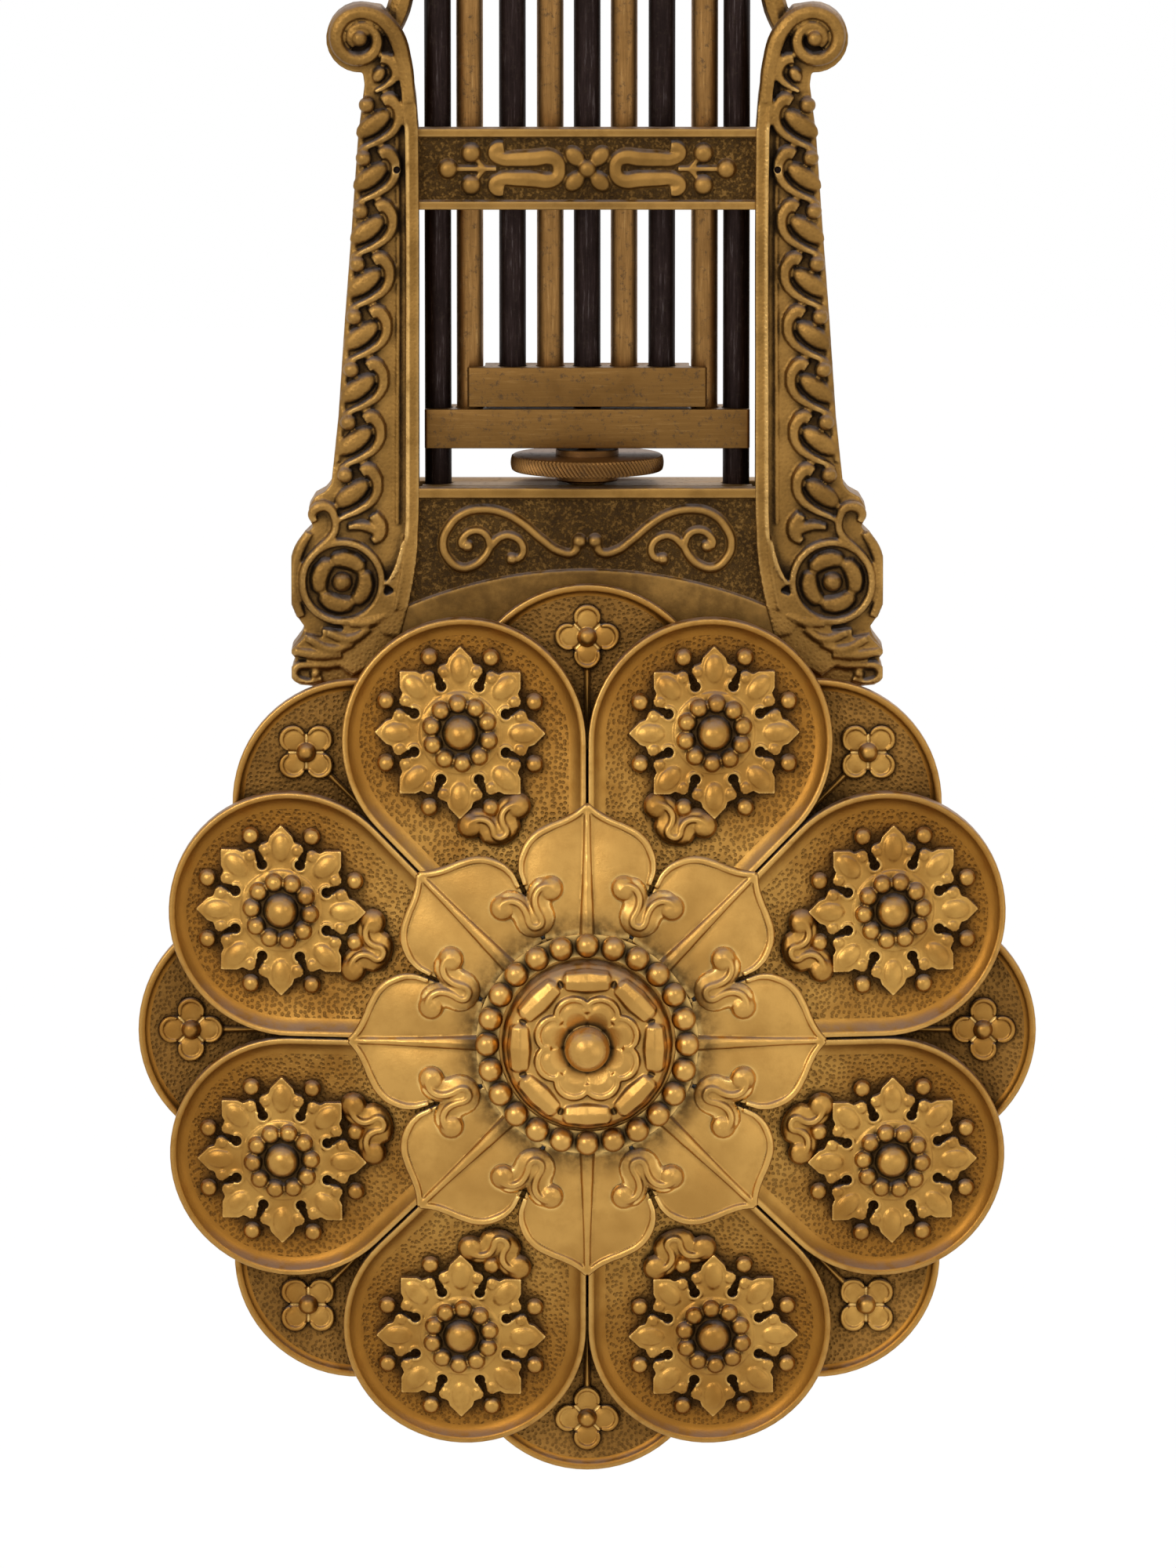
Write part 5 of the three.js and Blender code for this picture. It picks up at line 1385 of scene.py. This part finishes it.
def centre_rod():
    """Middle rod with the thinner end that the rating nut runs on."""
    left, right, *_, low, high = span("steel_rod_centre")
    foot = span("bottom_bar_outer")[4]
    shank = cylinder(ROD_SIDES, (right - left) / 2, high - foot, (0, 0, (high + foot) / 2), "Z")
    soft_edges(shank, ROD_EDGE)
    top = foot + 0.3
    thread = [(THREAD_RADIUS - THREAD_CUT * (i % 2), low + i * (top - low) / THREAD_STEPS)
              for i in range(THREAD_STEPS + 1)]
    screw = turned([(0, low)] + thread + [(0, top)], 24, upright=True)
    return fuse([shank, screw])


settle(centre_rod(), "steel_rod_centre_round", "steel_rod_centre")

# %% [markdown]
# Bars, chops, hook and block were sawn, filed and drilled, and the frame holds them exactly. A copy
# of the frame's own mesh is welded into one skin and its sharp edges are broken with a bevel. The
# frame's mesh itself is left alone.

# %% Break the edges of the machined pieces
WELD = 0.000002


def machined(node, edge):
    """Copy of a frame piece, welded, with its edges broken."""
    piece = copy_of(frame["nodes"][node])
    piece.parent = None
    for key in list(piece.keys()):
        del piece[key]
    edit_all()
    bpy.ops.mesh.remove_doubles(threshold=WELD)
    bpy.ops.mesh.dissolve_limited(angle_limit=math.radians(1))
    bpy.ops.object.mode_set(mode="OBJECT")
    piece.scale = (1 / MM, 1 / MM, 1 / MM)
    piece.location = (0, 0, -BOB_HEIGHT / MM)
    return soft_edges(fix_place(piece), edge, 2, 30)


MACHINED = {
    "bottom_bar_inner": 0.16, "bottom_bar_outer": 0.16, "top_bar_outer": 0.16, "top_bar_middle": 0.16,
    "top_bar_inner": 0.16, "pendulum_hook": 0.14, "upper_chop_left": 0.12, "upper_chop_right": 0.12,
    "lower_chop_left": 0.12, "lower_chop_right": 0.12, "guide_block": 0.16, "rear_nut": 0.2,
    "keeper_collar": 0.08, "rear_cover": 0.4, "through_bolt": 0.2, "arm_screw_left": 0.08,
    "arm_screw_right": 0.08, "panel_screw_left": 0.08, "panel_screw_right": 0.08, "bob_screw_left": 0.08,
    "bob_screw_right": 0.08,
}
for node, edge in MACHINED.items():
    settle(machined(node, edge), node + "_filed", node)

# %% [markdown]
# The rating nut is turned from bar, and its rim is knurled on a slant so that fingers can grip it.
# The profile is spun about the upright axis with four steps to a tooth, and then each point of the
# rim is pulled in by a wave that runs round and down at once, which is what a knurling wheel leaves.

# %% Turn and knurl the rating nut
NUT_RADIUS = 9.4
NUT_BORE = 1.26
KNURL_TEETH = 110
KNURL_DEPTH = 0.22
KNURL_SLANT = 7.5
KNURL_FROM = 9.2


def rating_nut():
    """Turned nut whose rim is drawn in by a slanting wave."""
    low = span("rating_nut")[4]
    profile = [(NUT_BORE, low), (2.1, low), (2.1, 66.8), (3.7, 66.8), (3.9, 67.0), (3.9, 68.0), (8.7, 68.0),
               (9.05, 68.06)]
    profile += [(NUT_RADIUS - 0.14 * (k / 4) ** 2, 69.0 + 0.2 * k) for k in range(-4, 5)]
    profile += [(9.05, 69.94), (8.7, 70.0), (3.85, 70.0), (3.85, 70.6), (3.75, 70.7), (NUT_BORE, 70.7)]
    piece = turned(profile, 4 * KNURL_TEETH, upright=True)
    for vertex in piece.data.vertices:
        reach = math.hypot(vertex.co.x, vertex.co.y)
        if reach > KNURL_FROM:
            turn = math.atan2(vertex.co.y, vertex.co.x)
            wave = 0.5 + 0.5 * math.cos(KNURL_TEETH * turn + KNURL_SLANT * vertex.co.z)
            share = 1 - KNURL_DEPTH * wave / reach
            vertex.co.x *= share
            vertex.co.y *= share
    return smooth(piece, 30)


settle(rating_nut(), "rating_nut_knurled", "rating_nut")

# %% [markdown]
# Pins, dowels and rivets are short round pieces. The cross pins are plain with broken ends. A rivet
# has a shank and a low domed head on each side, which is a flattened ball.

# %% Make the pins and rivets
for node in ("upper_pin", "lower_pin"):
    settle(round_bar(node, "X", 0.25), node + "_round", node)
for node in ("dowel_left", "dowel_right"):
    settle(coat(round_bar(node, "Y", 0.1), "rod_steel"), node + "_round", node)


def rivet(node):
    """Shank between the two plates with a domed head at each end."""
    right, front, back, low, high = span(node)[1:]
    height = (low + high) / 2
    depth = (front + back) / 2
    head = (high - low) / 2
    seat = span("upper_chop_right")[1]
    forms = [ball(side * seat, height, depth, head, (right - seat) / head, fine=24) for side in (-1, 1)]
    forms.append(cylinder(24, head * 0.6, 2 * seat, (0, -depth, height), "X"))
    return smooth(fuse(forms), 40)


for node in ("upper_rivet_front", "upper_rivet_rear", "lower_rivet_front", "lower_rivet_rear"):
    settle(rivet(node), node + "_domed", node)

# %% [markdown]
# The pendulum swings on two thin blued spring leaves. They are the only pieces that bend, so each
# leaf is cut finely along its length.

# %% Make the spring leaves
SPRING_CUTS = 15


def spring_leaf(node):
    """Thin leaf, cut finely so that it can bend."""
    left, right, front, back, low, high = span(node)
    bpy.ops.mesh.primitive_cube_add(size=1)
    leaf = bpy.context.object
    leaf.scale = (right - left, front - back, high - low)
    leaf.location = (0, -(front + back) / 2, (low + high) / 2)
    fix_place(leaf)
    edit_all()
    bpy.ops.mesh.subdivide(number_cuts=SPRING_CUTS)
    bpy.ops.object.mode_set(mode="OBJECT")
    return leaf


for node in ("spring_front", "spring_rear"):
    settle(spring_leaf(node), node + "_leaf", node, bends=True)
